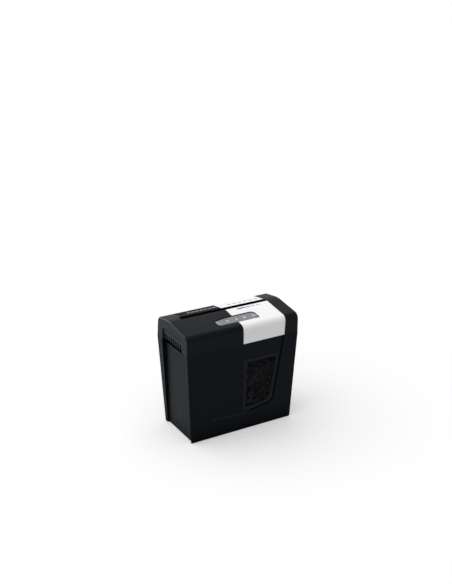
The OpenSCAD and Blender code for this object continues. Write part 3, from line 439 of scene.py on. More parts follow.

# painted shade: where ambient occlusion finds little of the room open within 60 mm, mostly close to the
# floor, the bin's colour is darkened and its specular level lowered
shader = bin_black.node_tree.nodes["Principled BSDF"]
open_room = put(shader, "ShaderNodeAmbientOcclusion", {"Distance": 0.06}, samples=8)["AO"]
reach = ranged(open_room, 0.5, 0.95, 0, 1)
lit = shader.inputs["Base Color"].links[0].from_socket
fill(shader, {"Base Color": blend_of(reach, paint(7, 10, 13), lit),
              "Specular IOR Level": ranged(reach, 0, 1, 0.020, 0.045)})

# the groove's own faces take a near-black finish with no specular, as painted shade: all their corners
# lie within its width of its outer edge
groove_painted_shade = moulded_plastic("groove_painted_shade", (3, 4, 5), None, 0.6, specular=0.0)
bin_wall = moulded_copy("bin_shell", 0.0006, bin_black, "bin", cuts=[groove])
bin_wall.data.materials.append(groove_painted_shade)
corners = np.array([corner.co for corner in bin_wall.data.vertices])
gap = np.linalg.norm(corners[:, None, ::2] - groove_edge(120)[None], axis=2).min(1)
for side in bin_wall.data.polygons:
    if side.center.y < -0.060 and gap[list(side.vertices)].max() < groove_wide + 0.0008:
        side.material_index = 2

# the ledge where the frame rises out of the front, a sloping fillet that fades to the left, painted paler
# than the bin as a painted highlight where it faces up into the light
ledge_painted_highlight = moulded_plastic("ledge_painted_highlight", (44, 50, 55), None, 0.40)
ledge_run = edge[~in_groove]
ledge_out = 0.0017 * (ledge_run[:, 0] - fade_x) / 0.255 + 0.0001
fillet = np.stack([beside(ledge_run, inward, outward) for inward, outward in (
    (0.0012, -0.0005), (0.0012, 0.00004), (-0.0006, ledge_out), (-0.0006, -0.0005))], 1)
ledge = mesh_piece("bin_ledge", fillet, bar_faces(len(ledge_run)).tolist(), ledge_painted_highlight, False)
fitted(ledge, "bin", "bin_shell")


# ---- Window
# A rim of slightly paler black plastic snapped into the bin's front, holding a smoked
# clear pane through which the level of the clippings shows.
def finish(nodes, material):
    """Gives solids that keep their own shape their finish."""
    for node in nodes:
        solid = frame["nodes"][node]
        solid.data.materials.clear()
        solid.data.materials.append(material)


rim_black = moulded_plastic("rim_black", (27, 31, 35), (34, 38, 42), 0.42)
moulded_copy("window_frame", 0.0005, rim_black, "window_rim")
smoked, shader, place = new_material("smoked_pane", Roughness=0.15, Specular_IOR_Level=0.03)
haze = smeared(place, 22.0)
fill(shader, {"Base Color": blend_of(haze, (0.006, 0.006, 0.007, 1), (0.012, 0.012, 0.013, 1)),
              "Alpha": ranged(haze, 0, 1, 0.62, 0.66)})
finish(["window_pane"], smoked)


# ---- Clippings
# Cross-cut pieces of office paper, about 4 by 30 mm, curled by the cutters and lying every way
# in a loose heap, with a few of card and of printed sheets among them.
def slab_faces(rows, columns):
    """Quads of a closed slab made of an upper grid of points and of a lower one after it: both
    grids, and a wall round the border. Rows run along +X and columns along +Y."""
    upper = grid_faces(rows, columns)
    count = rows * columns
    number = np.arange(count).reshape(rows, columns)
    border = np.concatenate([number[:-1, 0], number[-1, :-1], number[:0:-1, -1], number[0, :0:-1]])
    after = np.roll(border, -1)
    wall = np.stack([border, border + count, after + count, after], -1)
    return np.concatenate([upper, upper[:, ::-1] + count, wall])


heap_low, heap_high = (np.array(corner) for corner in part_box("shredded_paper"))
ridge_x = [heap_low[0], -0.004, 0.022, 0.082, 0.124, heap_high[0]]
ridge_z = [0.066, 0.104, 0.136, 0.168, 0.150, 0.118]


def heap_height(x, y):
    """Height of the heap's lid: a ridge across the front that peaks behind the window, sinking to
    the back, with low waves over it."""
    back = np.interp(y, [-0.070, -0.030, 0.015, 0.071], [1.0, 0.99, 0.86, 0.50])
    waves = 0.0030 * np.sin(95 * x + 1.3) * np.cos(70 * y) + 0.0015 * np.sin(230 * x + 150 * y)
    return np.interp(x, ridge_x, ridge_z) * back + waves


def heap_front(z):
    """Depth of the heap's front, just behind the leaning pane."""
    return -0.0692 - front_lean * z


# each point's tone picks its stock: white paper, three depths of print, or brown card. The darkest print
# also serves as painted shade for the packed inside of the heap
paper, shader, place = new_material("paper_and_card", Roughness=0.85, Specular_IOR_Level=0.2)
tone = put(place, "ShaderNodeAttribute", attribute_name="tone")["Fac"]
stock = put(place, "ShaderNodeValToRGB", {"Fac": tone})["Color"]
ramp = stock.node.color_ramp
ramp.interpolation = "CONSTANT"
ramp.elements[1].position = 0.93
for start in (0.24, 0.42, 0.66):
    ramp.elements.new(start)
for element, shade in zip(ramp.elements, ((0.80, 0.79, 0.76, 1), (0.36, 0.33, 0.28, 1),
                                          (0.12, 0.11, 0.11, 1), (0.035, 0.033, 0.036, 1),
                                          (0.42, 0.29, 0.17, 1))):
    element.color = shade
fibres = cloudy(place, 1800.0, 3)
tinted = put(place, "ShaderNodeMix", {0: 1.0, 6: stock, 7: blend_of(fibres, grey(0.82), grey(1))},
             data_type="RGBA", blend_type="MULTIPLY")[2]
fill(shader, {"Base Color": tinted, "Normal": bumped(fibres, 0.4, 0.00003)})


def heaped(name, points, faces, tones):
    """A piece of the heap, with a tone for each of its points."""
    piece = mesh_piece(name, points, faces.tolist(), paper, False)
    shades = piece.data.attributes.new("tone", "FLOAT", "POINT")
    shades.data.foreach_set("value", tones)
    fitted(piece, "bin", "shredded_paper")


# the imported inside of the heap: a lid of small crumpled steps over a flat bottom
rng = np.random.default_rng(7)
rows, columns = 74, 58
inset, setback = 0.004, 0.017
s, t = np.meshgrid(np.linspace(0, 1, rows), np.linspace(0, 1, columns), indexing="ij")
x = heap_low[0] + inset + s * (heap_high[0] - heap_low[0] - 2 * inset)
y = heap_front(0.0) + setback + t * (heap_high[1] - heap_front(0.0) - inset - setback)
lid_z = heap_height(x, y) - inset + rng.uniform(-0.0016, 0.0016, x.shape)
lid = np.stack([x, y - (1 - t) * front_lean * lid_z, lid_z], -1)
bottom = np.stack([x, y, np.full_like(x, heap_low[2])], -1)
# the packed inside takes the darkest stock all over: painted shade of the heap's depths
heaped("clippings_packed", np.stack([lid, bottom]), slab_faces(rows, columns),
       rng.uniform(0.80, 0.90, 2 * rows * columns))


def unit(vectors):
    """Vectors of length one."""
    return vectors / np.linalg.norm(vectors, axis=-1, keepdims=True)


def loose_strips(centres, outward, flatness):
    """Points of curled strips. A strip's middle line is an arc of its own radius that lifts
    towards its outward direction, its width turns about that line by its own twist, and its
    cross-section is a thin rectangle. Each strip has six stations of four corners."""
    count = len(centres)
    one_each = (count, 1, 1)
    normal = unit(outward + rng.normal(0, flatness, (count, 3)))[:, None]
    along = unit(np.cross(normal, rng.normal(0, 1, (count, 1, 3))))
    side = np.cross(normal, along)
    length = rng.uniform(0.017, 0.032, one_each)
    radius = rng.uniform(0.010, 0.060, one_each) * rng.choice([-1, 1], one_each)
    twist = rng.normal(0, 0.5, one_each)
    half_w, half_t = rng.uniform(0.0034, 0.0044, one_each) / 2, 0.00011
    u = np.linspace(-0.5, 0.5, 6)[:, None]
    angle = length / radius * u
    middle = along * (radius * np.sin(angle)) + normal * (radius * (1 - np.cos(angle)))
    lift = normal * np.cos(angle) - along * np.sin(angle)
    across = side * np.cos(twist * u) + lift * np.sin(twist * u)
    thick = np.cross(along * np.cos(angle) + normal * np.sin(angle), across)
    return centres[:, None, None] + np.stack([
        middle + across * half_w * a + thick * half_t * b
        for a, b in ((-1, -1), (1, -1), (1, 1), (-1, 1))], 2)


front_count, lid_count = 480, 950
front_z = rng.uniform(0.012, 0.178, front_count)
front_x = rng.uniform(heap_low[0] + 0.006, heap_high[0] - 0.006, front_count)
front_z = np.minimum(front_z, heap_height(front_x, np.full(front_count, -0.07)) - 0.001)
front_y = heap_front(front_z) + rng.uniform(0.0015, 0.017, front_count)
lid_x = rng.uniform(heap_low[0] + 0.008, heap_high[0] - 0.008, lid_count)
lid_y = rng.uniform(heap_low[1] - 0.002, heap_high[1] - 0.008, lid_count)
lid_z = heap_height(lid_x, lid_y) + rng.uniform(-0.004, 0.003, lid_count)
centres = np.concatenate([np.column_stack([front_x, front_y, front_z]),
                          np.column_stack([lid_x, lid_y, lid_z])])
outward = np.repeat([[0, -1.0, 0.1], [0, 0, 1.0]], [front_count, lid_count], axis=0)
strips = loose_strips(centres, outward, 0.38).reshape(len(centres), -1, 3)

# each strip is pushed back inside the bin as a whole where it would touch a wall or the pane
inside = strips - heap_low
inside[..., 1] = strips[..., 1] - heap_front(strips[..., 2])
past_far_walls = np.maximum((strips - heap_high).max(1), 0) * (1, 1, 0)
strips += (np.maximum(-inside.min(1), 0) - past_far_walls)[:, None]
corner_count = strips.shape[1]
first_corner = np.arange(len(strips))[:, None, None] * corner_count
heaped("clippings_loose", strips, (first_corner + bar_faces(6)[:, ::-1]).reshape(-1, 4),
       np.repeat(rng.uniform(0, 1, len(strips)), corner_count))


# ---- Feet
# Four moulded rubber discs pressed into pockets under the bin, each with a rounded rim and a
# shallow hollow so that it grips the floor.
def spun(along, radius, centre, axis, ends=None, side=None):
    """A closed surface round an axis through the centre: profile points, given by their distance
    along the axis and their radius, are carried round in even steps, and may differ from step to
    step. The profile is a loop, or else it is closed by two points on the axis at the distances
    that ends gives. side is the direction of the first step."""
    steps = 48
    axis = np.array(axis, float)
    side = unit(np.cross(axis, [0.3, 0.5, 0.81]) if side is None else np.array(side, float))
    angle = np.linspace(0, 2 * math.pi, steps, endpoint=False)[:, None, None]
    ring = np.cos(angle) * side + np.sin(angle) * np.cross(axis, side)
    points = np.array(centre) + along[..., None] * axis + radius[..., None] * ring
    count = points.shape[1]
    points = points.reshape(-1, 3)
    if ends is None:
        return points, grid_faces(steps, count, True, True)
    rim = np.arange(steps) * count
    after = np.roll(rim, -1)
    first = np.full(steps, len(points))
    fans = [np.stack([first, after, rim], -1),
            np.stack([first + 1, rim + count - 1, after + count - 1], -1)]
    tips = np.array(centre) + np.array(ends)[:, None] * axis
    return np.concatenate([points, tips]), grid_faces(steps, count, wrap_rows=True), *fans


rubber = moulded_plastic("black_rubber", (24, 24, 24), (40, 40, 40), 0.8, 900, 0.00003, 0.1)
low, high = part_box("rubber_feet")
foot_r = 0.008
top = high.z - low.z
foot_along, foot_radius = np.array([
    (0.0005, 0.0045), (0.0002, 0.0055), (0.0, 0.0060), (0.0, 0.0068), (0.0003, 0.0076),
    (0.0009, foot_r), (top - 0.0003, foot_r), (top, foot_r - 0.0003)]).T
feet = solid_piece("feet", [
    spun(foot_along, foot_radius, (x, y, low.z), (0, 0, 1), (foot_along[0], top))
    for x in (low.x + foot_r, high.x - foot_r) for y in (low.y + foot_r, high.y - foot_r)], rubber)
fitted(feet, "bin", "rubber_feet")


# ---- Head cover and end cap
# Two mouldings with the same grain as the bin: the long cover with the slot, the hand grip and
# the vents of the left end, and the cap that closes the right end.
top_slope = math.radians(8.5)
slope_y, slope_z = math.cos(top_slope), math.sin(top_slope)
ridge_y, apex_z = 0.012, 0.314565


def top_height(y):
    """Height of the head's two flat slopes at a depth."""
    return apex_z - np.abs(y - ridge_y) * math.tan(top_slope)


def on_top(x, y, proud):
    """Points of the head's front slope at a depth, moved out along its normal."""
    return np.stack(np.broadcast_arrays(x, y - proud * slope_z, top_height(y) + proud * slope_y), -1)


def rounded_outline(corners, steps=8):
    """Points of an outline in order round. Each corner is (u, v, radius), and its arc is centred on
    the bisector of the two sides that meet there."""
    corners = np.array(corners, float)
    points = []
    for k, (*corner, r) in enumerate(corners):
        before = unit(corners[k - 1, :2] - corner)
        after = unit(corners[(k + 1) % len(corners), :2] - corner)
        half = math.acos(before @ after) / 2
        centre = corner + unit(before + after) * r / math.sin(half)
        ends = [corner + side * r / math.tan(half) - centre for side in (before, after)]
        start, end = (math.atan2(v, u) for u, v in ends)
        swing = (end - start + math.pi) % (2 * math.pi) - math.pi
        angle = start + swing * np.linspace(0, 1, steps + 1 if r else 1)
        points.append(centre + r * np.stack([np.cos(angle), np.sin(angle)], -1))
    return np.concatenate(points)


def rounded_box(x0, x1, y0, y1, left_r, right_r):
    """A rectangular outline, with its own corner radius at each end."""
    return rounded_outline([(x0, y0, left_r), (x1, y0, right_r), (x1, y1, right_r),
                            (x0, y1, left_r)], 4)


def upright(outline, *heights):
    """A closed solid with a plan outline, between two heights."""
    return prism(*(np.column_stack([outline, np.full(len(outline), z)]) for z in heights))


def endways(outline, *places):
    """A closed solid with an outline of depths and heights, between two places along the head."""
    return prism(*(np.column_stack([np.full(len(outline), x), outline]) for x in places))


def through_top(outline, deep):
    """A closed solid with an outline on the front slope, from a depth under it to above it."""
    u, v = outline.T
    return prism(on_top(u, v, -deep), on_top(u, v, 0.003))


# the slot's wide mouth, which runs on under the cap at its right end
mouth_front, mouth_rear = 0.0085, 0.0250
mouth = rounded_box(-0.1305, 0.1242, mouth_front, mouth_rear, 0.0012, 0.0006)
# the well of the control strip, wider at its right end
well_deep = 0.00205
well = rounded_outline([(-0.0600, -0.0590, 0.011), (0.0616, -0.0590, 0), (0.0616, -0.0249, 0.012),
                        (-0.010, -0.0256, 0), (-0.035, -0.0279, 0), (-0.0525, -0.0315, 0),
                        (-0.0600, -0.0345, 0)])


def grip_comb(end):
    """The vents of a hand grip run out through its lower edge: a comb-shaped outline, carried
    through the wall at one end of the head. Each of its eight slots has a half round top."""
    edge_z, root_z, slot_top, slot_r, pitch = 0.2470, 0.2535, 0.2665, 0.0034, 0.0122
    outline = [(0.0515, edge_z), (0.0515, root_z)]
    turn = np.radians(np.linspace(0, 180, 7))
    for k in reversed(range(8)):
        y = -0.042 + k * pitch
        arch = np.stack([y + slot_r * np.cos(turn), slot_top + slot_r * np.sin(turn)], -1)
        outline += [(y + slot_r, root_z), *arch.tolist(), (y - slot_r, root_z)]
    outline += [(-0.0535, root_z), (-0.0535, edge_z)]
    return endways(outline, end * 0.1480, end * 0.1680)


def grip_channel(end):
    """A channel under the arch of a hand grip: its outline follows the arch at two depths."""
    y = np.linspace(-0.0520, 0.0500, 25)
    arch = 0.2855 - (y + 0.001) ** 2 / 0.8
    outline = np.concatenate([np.stack([y, arch - 0.0004], -1), np.stack([y, arch - 0.0042], -1)[::-1]])
    return endways(outline, end * 0.1596, end * 0.1628)


cover_black = moulded_plastic("cover_black", (12, 16, 20), (38, 44, 49), 0.42, specular=0.075)
moulded_copy("head_cover", 0.0004, cover_black, flat=None, cuts=[
    upright(mouth, 0.3000, 0.3200), through_top(well, well_deep), grip_comb(-1), grip_channel(-1)])
cap_black = moulded_plastic("cap_black", (17, 19, 21), (36, 40, 43), 0.44, 900, 0.00008, 0.07)
moulded_copy("end_cap", 0.0005, cap_black, cuts=[grip_comb(1), grip_channel(1)])


# ---- Silver panels
# Two thin mouldings painted satin silver, clipped into seats in the cover: one wraps over the
# front and runs up to the slot, the other lies behind the slot.
silver, shader, place = new_material("silver_paint", Specular_IOR_Level=0.4)
flakes = put(place, "ShaderNodeTexVoronoi", {"Vector": place, "Scale": 4200.0})["Color"]
peel = cloudy(place, 30.0, 3)
fill(shader, {"Base Color": blend_of(flakes, (0.85, 0.85, 0.86, 1), (0.93, 0.93, 0.94, 1)),
              "Roughness": ranged(peel, 0.3, 0.7, 0.30, 0.36),
              "Normal": bumped(peel, 0.15, 0.0002)})
for node, near_y, far_y, wells in (
        ("front_trim", mouth_front - 0.0005, 0.0600, [through_top(well, 0.004)]),
        ("rear_trim", -0.0100, mouth_rear + 0.0008, [])):
    mouth_side = rounded_box(-0.03, 0.16, near_y, far_y, 0, 0)
    moulded_copy(node, 0.0003, silver,
                 cuts=[upright(mouth_side, 0.2950, 0.3250), *wells])


# ---- Control strip
# A flush touch panel of grey smoked plastic, let into the top, with four generic signs printed
# in white over the lamps under it.
touch_grey, shader, place = new_material("touch_grey", Specular_IOR_Level=0.35)
grain = placed(place, mould_grain, Vector=place, Scale=2600.0)
smoked_grey = blend_of(grain["Tone"], (0.17, 0.18, 0.19, 1), (0.21, 0.22, 0.23, 1))
# painted highlight: the strip turns paler towards its left tip, where it faces the light from the left
painted_highlight_left_end = ranged(put(place, "ShaderNodeSeparateXYZ", {"Vector": place})["X"], -0.058, -0.047, 1, 0)
fill(shader, {"Base Color": blend_of(painted_highlight_left_end, smoked_grey, (0.36, 0.37, 0.38, 1)),
              "Roughness": ranged(smeared(place, 40.0), 0, 1, 0.34, 0.26)})
strip_deep, strip_under = 0.0016, well_deep - 0.0001
strip_middle = -0.0420
strip_outline = rounded_outline([
    (-0.0596, -0.0586, 0.0106), (0.0612, -0.0586, 0), (0.0612, -0.0253, 0.0116),
    (-0.010, -0.0260, 0), (-0.035, -0.0283, 0), (-0.0525, -0.0319, 0), (-0.0596, -0.0348, 0)])
u, v = strip_outline.T
strip = solid_piece("control_strip_panel", [prism(on_top(u, v, -strip_under),
                                                  on_top(u, v, -strip_deep))], touch_grey, False)
fitted(strip, "head", "control_strip")


def stroke(path, width, closed=False):
    """Left and right border points of a line of the given width, as rows of a grid: each path
    point is moved both ways along the path's normal, which is the mean of its two sides'."""
    path = np.array(path, float)
    step = np.roll(path, -1, 0) - path
    before = np.roll(step, 1, 0)
    if not closed:
        step[-1] = step[-2]
        before[0] = step[0]
    mean = unit(unit(step) + unit(before))
    normal = np.stack([-mean[:, 1], mean[:, 0]], -1)
    reach = width / 2 / np.maximum((mean * unit(step)).sum(-1, keepdims=True), 0.5)
    return np.stack([path - normal * reach, path + normal * reach], 1)


def printed(lines, place_on, low=-0.00002, high=0.00008):
    """Closed thin strips from stroked lines. Each line is its path, its width and, where it closes
    on itself, True. place_on turns plan points and a height into points on the surface that
    carries the print."""
    parts = []
    for path, width, *closed in lines:
        border = stroke(path, width, bool(closed))
        ring = np.stack([place_on(*border[:, side].T, lift) for side, lift in (
            (0, low), (1, low), (1, high), (0, high))], 1)
        faces = grid_faces(len(ring), 4, True, True) if closed else bar_faces(len(ring))
        parts.append((ring.reshape(-1, 3), faces))
    return parts


def arc_path(cx, cy, r, start, end, steps=20):
    """Points of an arc, angles in degrees."""
    a = np.radians(np.linspace(start, end, steps))
    return np.stack([cx + r * np.cos(a), cy + r * np.sin(a)], -1)


def ring_path(cx, cy, r, steps=28):
    """Points of a whole circle, the last not repeating the first."""
    return arc_path(cx, cy, r, 0, 360 * (1 - 1 / steps), steps)


def mottled(name, pattern, first, second, rough=(), **sockets):
    """A material whose colour runs from first to second by a pattern of the place. Its roughness
    follows the same pattern where rough gives the pattern's range and its own."""
    material, shader, place = new_material(name, **sockets)
    factor = pattern(place)
    fill(shader, {"Base Color": blend_of(factor, first, second)})
    if rough:
        fill(shader, {"Roughness": ranged(factor, *rough)})
    return material


def printing_ink(name, worn, full):
    """A printed colour, patchy where the panel's grain shows through."""
    return mottled(name, lambda place: cloudy(place, 2500.0), worn, full, Roughness=0.5,
                   Specular_IOR_Level=0.3)


def on_strip(u, v, w):
    """Plan points about the strip's middle, as points on its sloping face."""
    return on_top(u, strip_middle + v * slope_y, w - strip_deep)


# two chevrons, a sheet fed down to a line, an open bin, and a broken ring with a bar
white_ink = printing_ink("white_ink", (0.66, 0.68, 0.70, 1), (0.86, 0.87, 0.88, 1))
thin, thick = 0.0014, 0.0014 * 1.15
reverse = [([(d + 0.0014, 0.0026), (d - 0.0014, 0), (d + 0.0014, -0.0026)], thin)
           for d in (-0.0018, 0.0018)]
feed = [([(0, 0.0034), (0, -0.0010)], thin),
        ([(-0.0022, 0.0004), (0, -0.0018), (0.0022, 0.0004)], thin),
        ([(-0.0030, -0.0034), (0.0030, -0.0034)], thin)]
open_bin = [([(-0.0030, 0.0032), (-0.0022, -0.0034), (0.0022, -0.0034), (0.0030, 0.0032)], thin),
            ([(-0.0038, 0.0032), (0.0038, 0.0032)], thin)]
standby = [(arc_path(0, 0, 0.0039, 125, 415), thick), ([(0, 0.0042), (0, 0.0002)], thick)]
signs = [(np.array(path) + (x, 0), width)
         for x, sign in ((-0.025, reverse), (0.001, feed), (0.0245, open_bin), (0.0525, standby))
         for path, width in sign]
fitted(solid_piece("strip_signs", printed(signs, on_strip), white_ink, False), "head")
# a near-black ring round the strip: a bezel, darker than the cover as painted shade of the well's walls
bezel_painted_shade = moulded_plastic("bezel_painted_shade", (10, 11, 12), (20, 21, 22), 0.5, 2600, 0.00001, 0.02)
bezel = printed([(strip_outline, 0.0018, True)], on_top, -strip_under, -0.0002)
fitted(solid_piece("strip_bezel", bezel, bezel_painted_shade, False), "head")


# ---- Rear insert and printed marks
# A gloss black insert behind the left half of the slot, and rows of plain dashes printed on it
# and on the silver panels: pale on black, grey on silver.
def taken_off(distance, r):
    """How much a quarter circle of radius r takes off a corner at a distance from its end."""
    return r - np.sqrt(np.maximum(r ** 2 - np.clip(r - distance, 0, r) ** 2, 0))


def on_outline(x, y, lift):
    """Points at a height over the head's outline: flat slopes with a wide rounding over the
    ridge."""
    ridge_r = 0.090
    off = y - ridge_y
    inside = np.abs(off) < ridge_r * math.sin(top_slope)
    round_z = (apex_z - ridge_r / math.cos(top_slope)
               + np.sqrt(np.maximum(ridge_r ** 2 - off ** 2, 0)))
    angle = np.where(inside, np.arcsin(np.clip(off / ridge_r, -1, 1)), np.sign(off) * top_slope)
    z = np.where(inside, round_z, top_height(y))
    return np.stack([x, y + lift * np.sin(angle), z + lift * np.cos(angle)], -1)


def laid_panel(x0, x1, y0, y1, left_r, right_r, proud, sunk):
    """A thin panel that follows the head's top: an upper grid raised above it, with its border
    turned down through a small rounding, and a lower grid under it. The depth of each end's
    corners shortens along a quarter circle of the given radius."""
    rows, columns, edge_r = 60, 14, 0.0007
    s, t = np.meshgrid(*((1 - np.cos(np.linspace(0, math.pi, count))) / 2
                         for count in (rows, columns)), indexing="ij")
    x = x0 + s * (x1 - x0)
    trim = taken_off(x - x0, left_r) + taken_off(x1 - x, right_r)
    y = y0 + trim + t * (y1 - y0 - 2 * trim)
    edge = np.minimum(np.minimum(x - x0, x1 - x), np.minimum(y - y0 - trim, y1 - trim - y))
    grids = [on_outline(x, y, lift) for lift in (proud - taken_off(edge, edge_r),
                                                 np.full_like(x, -sunk))]
    return np.concatenate(grids).reshape(-1, 3), slab_faces(rows, columns)


gloss_black = moulded_plastic("gloss_black", (8, 10, 12), (24, 26, 28), 0.5, 3200, 0.00001, 0.03)
insert_low, insert_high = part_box("rear_insert")
insert_proud = 0.0002
insert = solid_piece("rear_insert_panel", [laid_panel(
    insert_low.x, insert_high.x, mouth_rear + 0.0003, insert_high.y - 0.0001, 0.001, 0.009,
    insert_proud, 0.0011)], gloss_black)
fitted(insert, "head", "rear_insert")


def dash(x, y, length, width):
    """A plain dash along the head."""
    return [(x, y), (x + length, y)], width


pale_ink = printing_ink("pale_ink", (0.30, 0.31, 0.32, 1), (0.42, 0.43, 0.44, 1))
marks = [dash(-0.096 + k * 0.0125, 0.0455, 0.0095, 0.0046) for k in range(7)]
marks.append((ring_path(-0.0145, 0.0455, 0.0030), 0.0024, True))
fitted(solid_piece("insert_marks", printed(marks, lambda u, v, w: on_outline(u, v, insert_proud + w)),
                   pale_ink, False), "head")
grey_ink = printing_ink("grey_ink", (0.10, 0.10, 0.11, 1), (0.20, 0.20, 0.21, 1))
marks = [dash(x, 0.0425, 0.009, 0.0048) for x in np.arange(0.024, 0.108, 0.0165)]
marks += [dash(x, -0.0010, length, width) for x, length, width in (
    (0.027, 0.024, 0.0052), (0.0525, 0.012, 0.0036), (0.0665, 0.016, 0.0024), (0.0855, 0.011, 0.0018))]
fitted(solid_piece("panel_marks", printed(marks, on_outline), grey_ink, False), "head")


# ---- Head base
# The tray under the cutting block, moulded in plain black, with the screws that hold the cover
# sunk in its underside.
base_black = moulded_plastic("base_black", (8, 9, 10), (22, 23, 24), 0.55, 1100, 0.00006, 0.01)
moulded_copy("head_base", 0.0004, base_black)
bright_steel = mottled("bright_steel", lambda place: cloudy(place, 900.0, 4),
                       (0.50, 0.50, 0.51, 1), (0.66, 0.66, 0.67, 1), (0.3, 0.7, 0.28, 0.42),
                       Metallic=1.0)


def pan_head_screw(head_point, shank, head_r, head_h, shank_r):
    """A pan-head screw pointing up. Rings run from the middle of the head to the tip: the head is a
    quarter ellipse with a cross pressed into it, and the thread is the shank's radius raised by a
    sharp wave that climbs one pitch each turn."""
    steps, pitch = 48, 0.0012
    angle = np.linspace(0, 2 * math.pi, steps, endpoint=False)[:, None]
    head_t = np.linspace(0.03, 1, 16)[None]
    r_head = head_r * head_t
    z_head = head_h * (1 - np.sqrt(np.maximum(1 - head_t ** 2, 0))) * 0.75
    arm = np.minimum(np.abs(r_head * np.cos(angle)), np.abs(r_head * np.sin(angle)))
    cross = np.clip(1.6 - arm / (0.12 * head_r), 0, 1) * np.clip(2.2 - r_head / (0.30 * head_r), 0, 1)
    z_head = z_head + cross * 0.55 * head_h
    z_body = np.concatenate([[head_h], np.linspace(head_h + 0.00002, shank - 0.0012, 70),
                             [shank - 0.0003]])[None]
    wave = np.abs(((z_body / pitch + angle / (2 * math.pi)) % 1) - 0.5) * 2
    r_body = shank_r * (0.80 + 0.20 * wave)
    r_body[:, 0] = shank_r * 0.8
    r_body[:, -1] = shank_r * 0.25
    r = np.concatenate([np.broadcast_to(r_head, (steps, 16)), np.full((steps, 1), head_r), r_body], 1)
    z = np.concatenate([z_head, np.full((steps, 1), head_h * 0.98),
                        np.broadcast_to(z_body, r_body.shape)], 1)
    return spun(z, r, head_point, (0, 0, 1), (z_head[0, 0], shank), (1, 0, 0))


screw_low, screw_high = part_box("cover_screws")
screw_head_r, screw_head_h, screw_shank_r = 0.0034, 0.0022, 0.0015
left, right = screw_low.x + screw_head_r, screw_high.x - screw_head_r
front, rear = screw_low.y + screw_head_r, screw_high.y - screw_head_r
screw_places = [(left, front + 0.004), (left, rear - 0.002), (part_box("front_trim")[0].x + 0.015, front),
                (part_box("end_cap")[0].x - 0.0185, rear), (right, front + 0.006), (right, rear - 0.002)]
screws = solid_piece("cover_screws_pan_head", [
    pan_head_screw((x, y, screw_low.z), screw_high.z - screw_low.z, screw_head_r, screw_head_h,
                   screw_shank_r) for x, y in screw_places], bright_steel)
fitted(screws, "head", "cover_screws")


# ---- Throat and combs
# Two moulded guides that lead the sheets from the slot to the nip, a near-black liner in the slot's
# # mouth that is painted shade, and the combs that strip the clippings from the cutters.
# painted shade: the liner is near black with no specular, standing for the dark inside of the slot
slot_painted_shade = mottled("slot_painted_shade", lambda place: smeared(place, 60.0),
                      (0.0012, 0.0012, 0.0013, 1), (0.0030, 0.0030, 0.0031, 1), Roughness=0.9,
                      Specular_IOR_Level=0.0)
slot_front, slot_rear, throat_z = 0.012, 0.019, 0.3102


def slot_ring(left, right, front, rear, height=None):
    """One ring of the liner: the slot's round-cornered rectangle with each side moved out, at a
    height or just under the head's top."""
    ring = rounded_box(-0.1290 - left, 0.1200 + right, slot_front - front, slot_rear + rear,
                       0.001, 0.001)
    under_top = top_height(ring[:, 1]) - 0.0003
    return np.column_stack([ring, np.full(len(ring), height) if height else under_top])


front_run, rear_run = slot_front - mouth_front - 0.0001, mouth_rear - slot_rear - 0.0001
rings = np.stack([slot_ring(0.0014, 0.0041, front_run, rear_run),
                  slot_ring(0.0008, 0.0035, front_run - 0.0006, rear_run - 0.0006),
                  slot_ring(0, 0, 0, 0, throat_z),
                  slot_ring(0.0006, 0.0008, 0.0008, 0.0008, throat_z)])
liner = solid_piece("slot_shade_liner", [(rings.reshape(-1, 3), grid_faces(4, rings.shape[1], True, True))],
                    slot_painted_shade, False)
fitted(liner, "head")
throat_black = moulded_plastic("throat_black", (18, 18, 20), (40, 40, 42), 0.5, 1300)
for node in ("throat_front", "throat_rear"):
    moulded_copy(node, 0.0003, throat_black, node + "_guide")
comb_black = moulded_plastic("comb_black", (34, 34, 37), (60, 60, 63), 0.5, 1300)
finish(["comb_front", "comb_rear"], comb_black)


# ---- Cutters, shafts and steel frame
# Two hardened shafts of hooked discs turn between side plates of cold-rolled steel, held apart by
# riveted rods and carried in oil-soaked bronze bushes.

# edges rubbed smooth and slightly paler
rubbed_edges, given, result = new_group("rubbed_edges", {"Low": 0.52, "High": 0.62}, ["Edge"])
pointed = put(result, "ShaderNodeNewGeometry")["Pointiness"]
fill(result, {"Edge": ranged(pointed, given["Low"], given["High"], 0, 1)})

# fine rings left by the lathe about an axis along X, under cloudy stains
turning, given, result = new_group("turning_marks", {"Vector": None, "Scale": 3000.0},
                                   ["Height", "Tone"])
split = put(result, "ShaderNodeSeparateXYZ", {"Vector": given["Vector"]})
off_axis = put(result, "ShaderNodeCombineXYZ", {"Y": split["Y"], "Z": split["Z"]})[0]
radius = put(result, "ShaderNodeVectorMath", {0: off_axis}, operation="LENGTH")["Value"]
lathe = put(result, "ShaderNodeCombineXYZ", {"X": split["X"], "Y": radius})[0]
fill(result, {"Height": cloudy(lathe, given["Scale"]),
              "Tone": ranged(cloudy(given["Vector"], 60.0, 5), 0.35, 0.65, 0, 1)})


def turned_metal(name, dark, pale, rough, centre=(0, 0, 0)):
    """Metal turned about an axis along X through a centre: fine rings, stains, brighter edges."""
    material, shader, place = new_material(name, Metallic=1.0)
    about = put(place, "ShaderNodeMapping", {"Vector": place, "Location": [-c for c in centre]})[0]
    marks = placed(place, turning, Vector=about)
    edge = placed(place, rubbed_edges, Low=0.51, High=0.58)["Edge"]
    bright = (*np.minimum(np.array(pale[:3]) * 1.25, 1).tolist(), 1)
    fill(shader, {"Base Color": blend_of(edge, blend_of(marks["Tone"], dark, pale), bright),
                  "Roughness": ranged(marks["Tone"], 0, 1, rough + 0.1, rough - 0.05),
                  "Normal": bumped(marks["Height"], 0.3, 0.00003)})
    return material


def axis_of(node):
    """The middle of a turned solid, where its axis passes."""
    low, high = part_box(node)
    return ((low + high) / 2)[:]


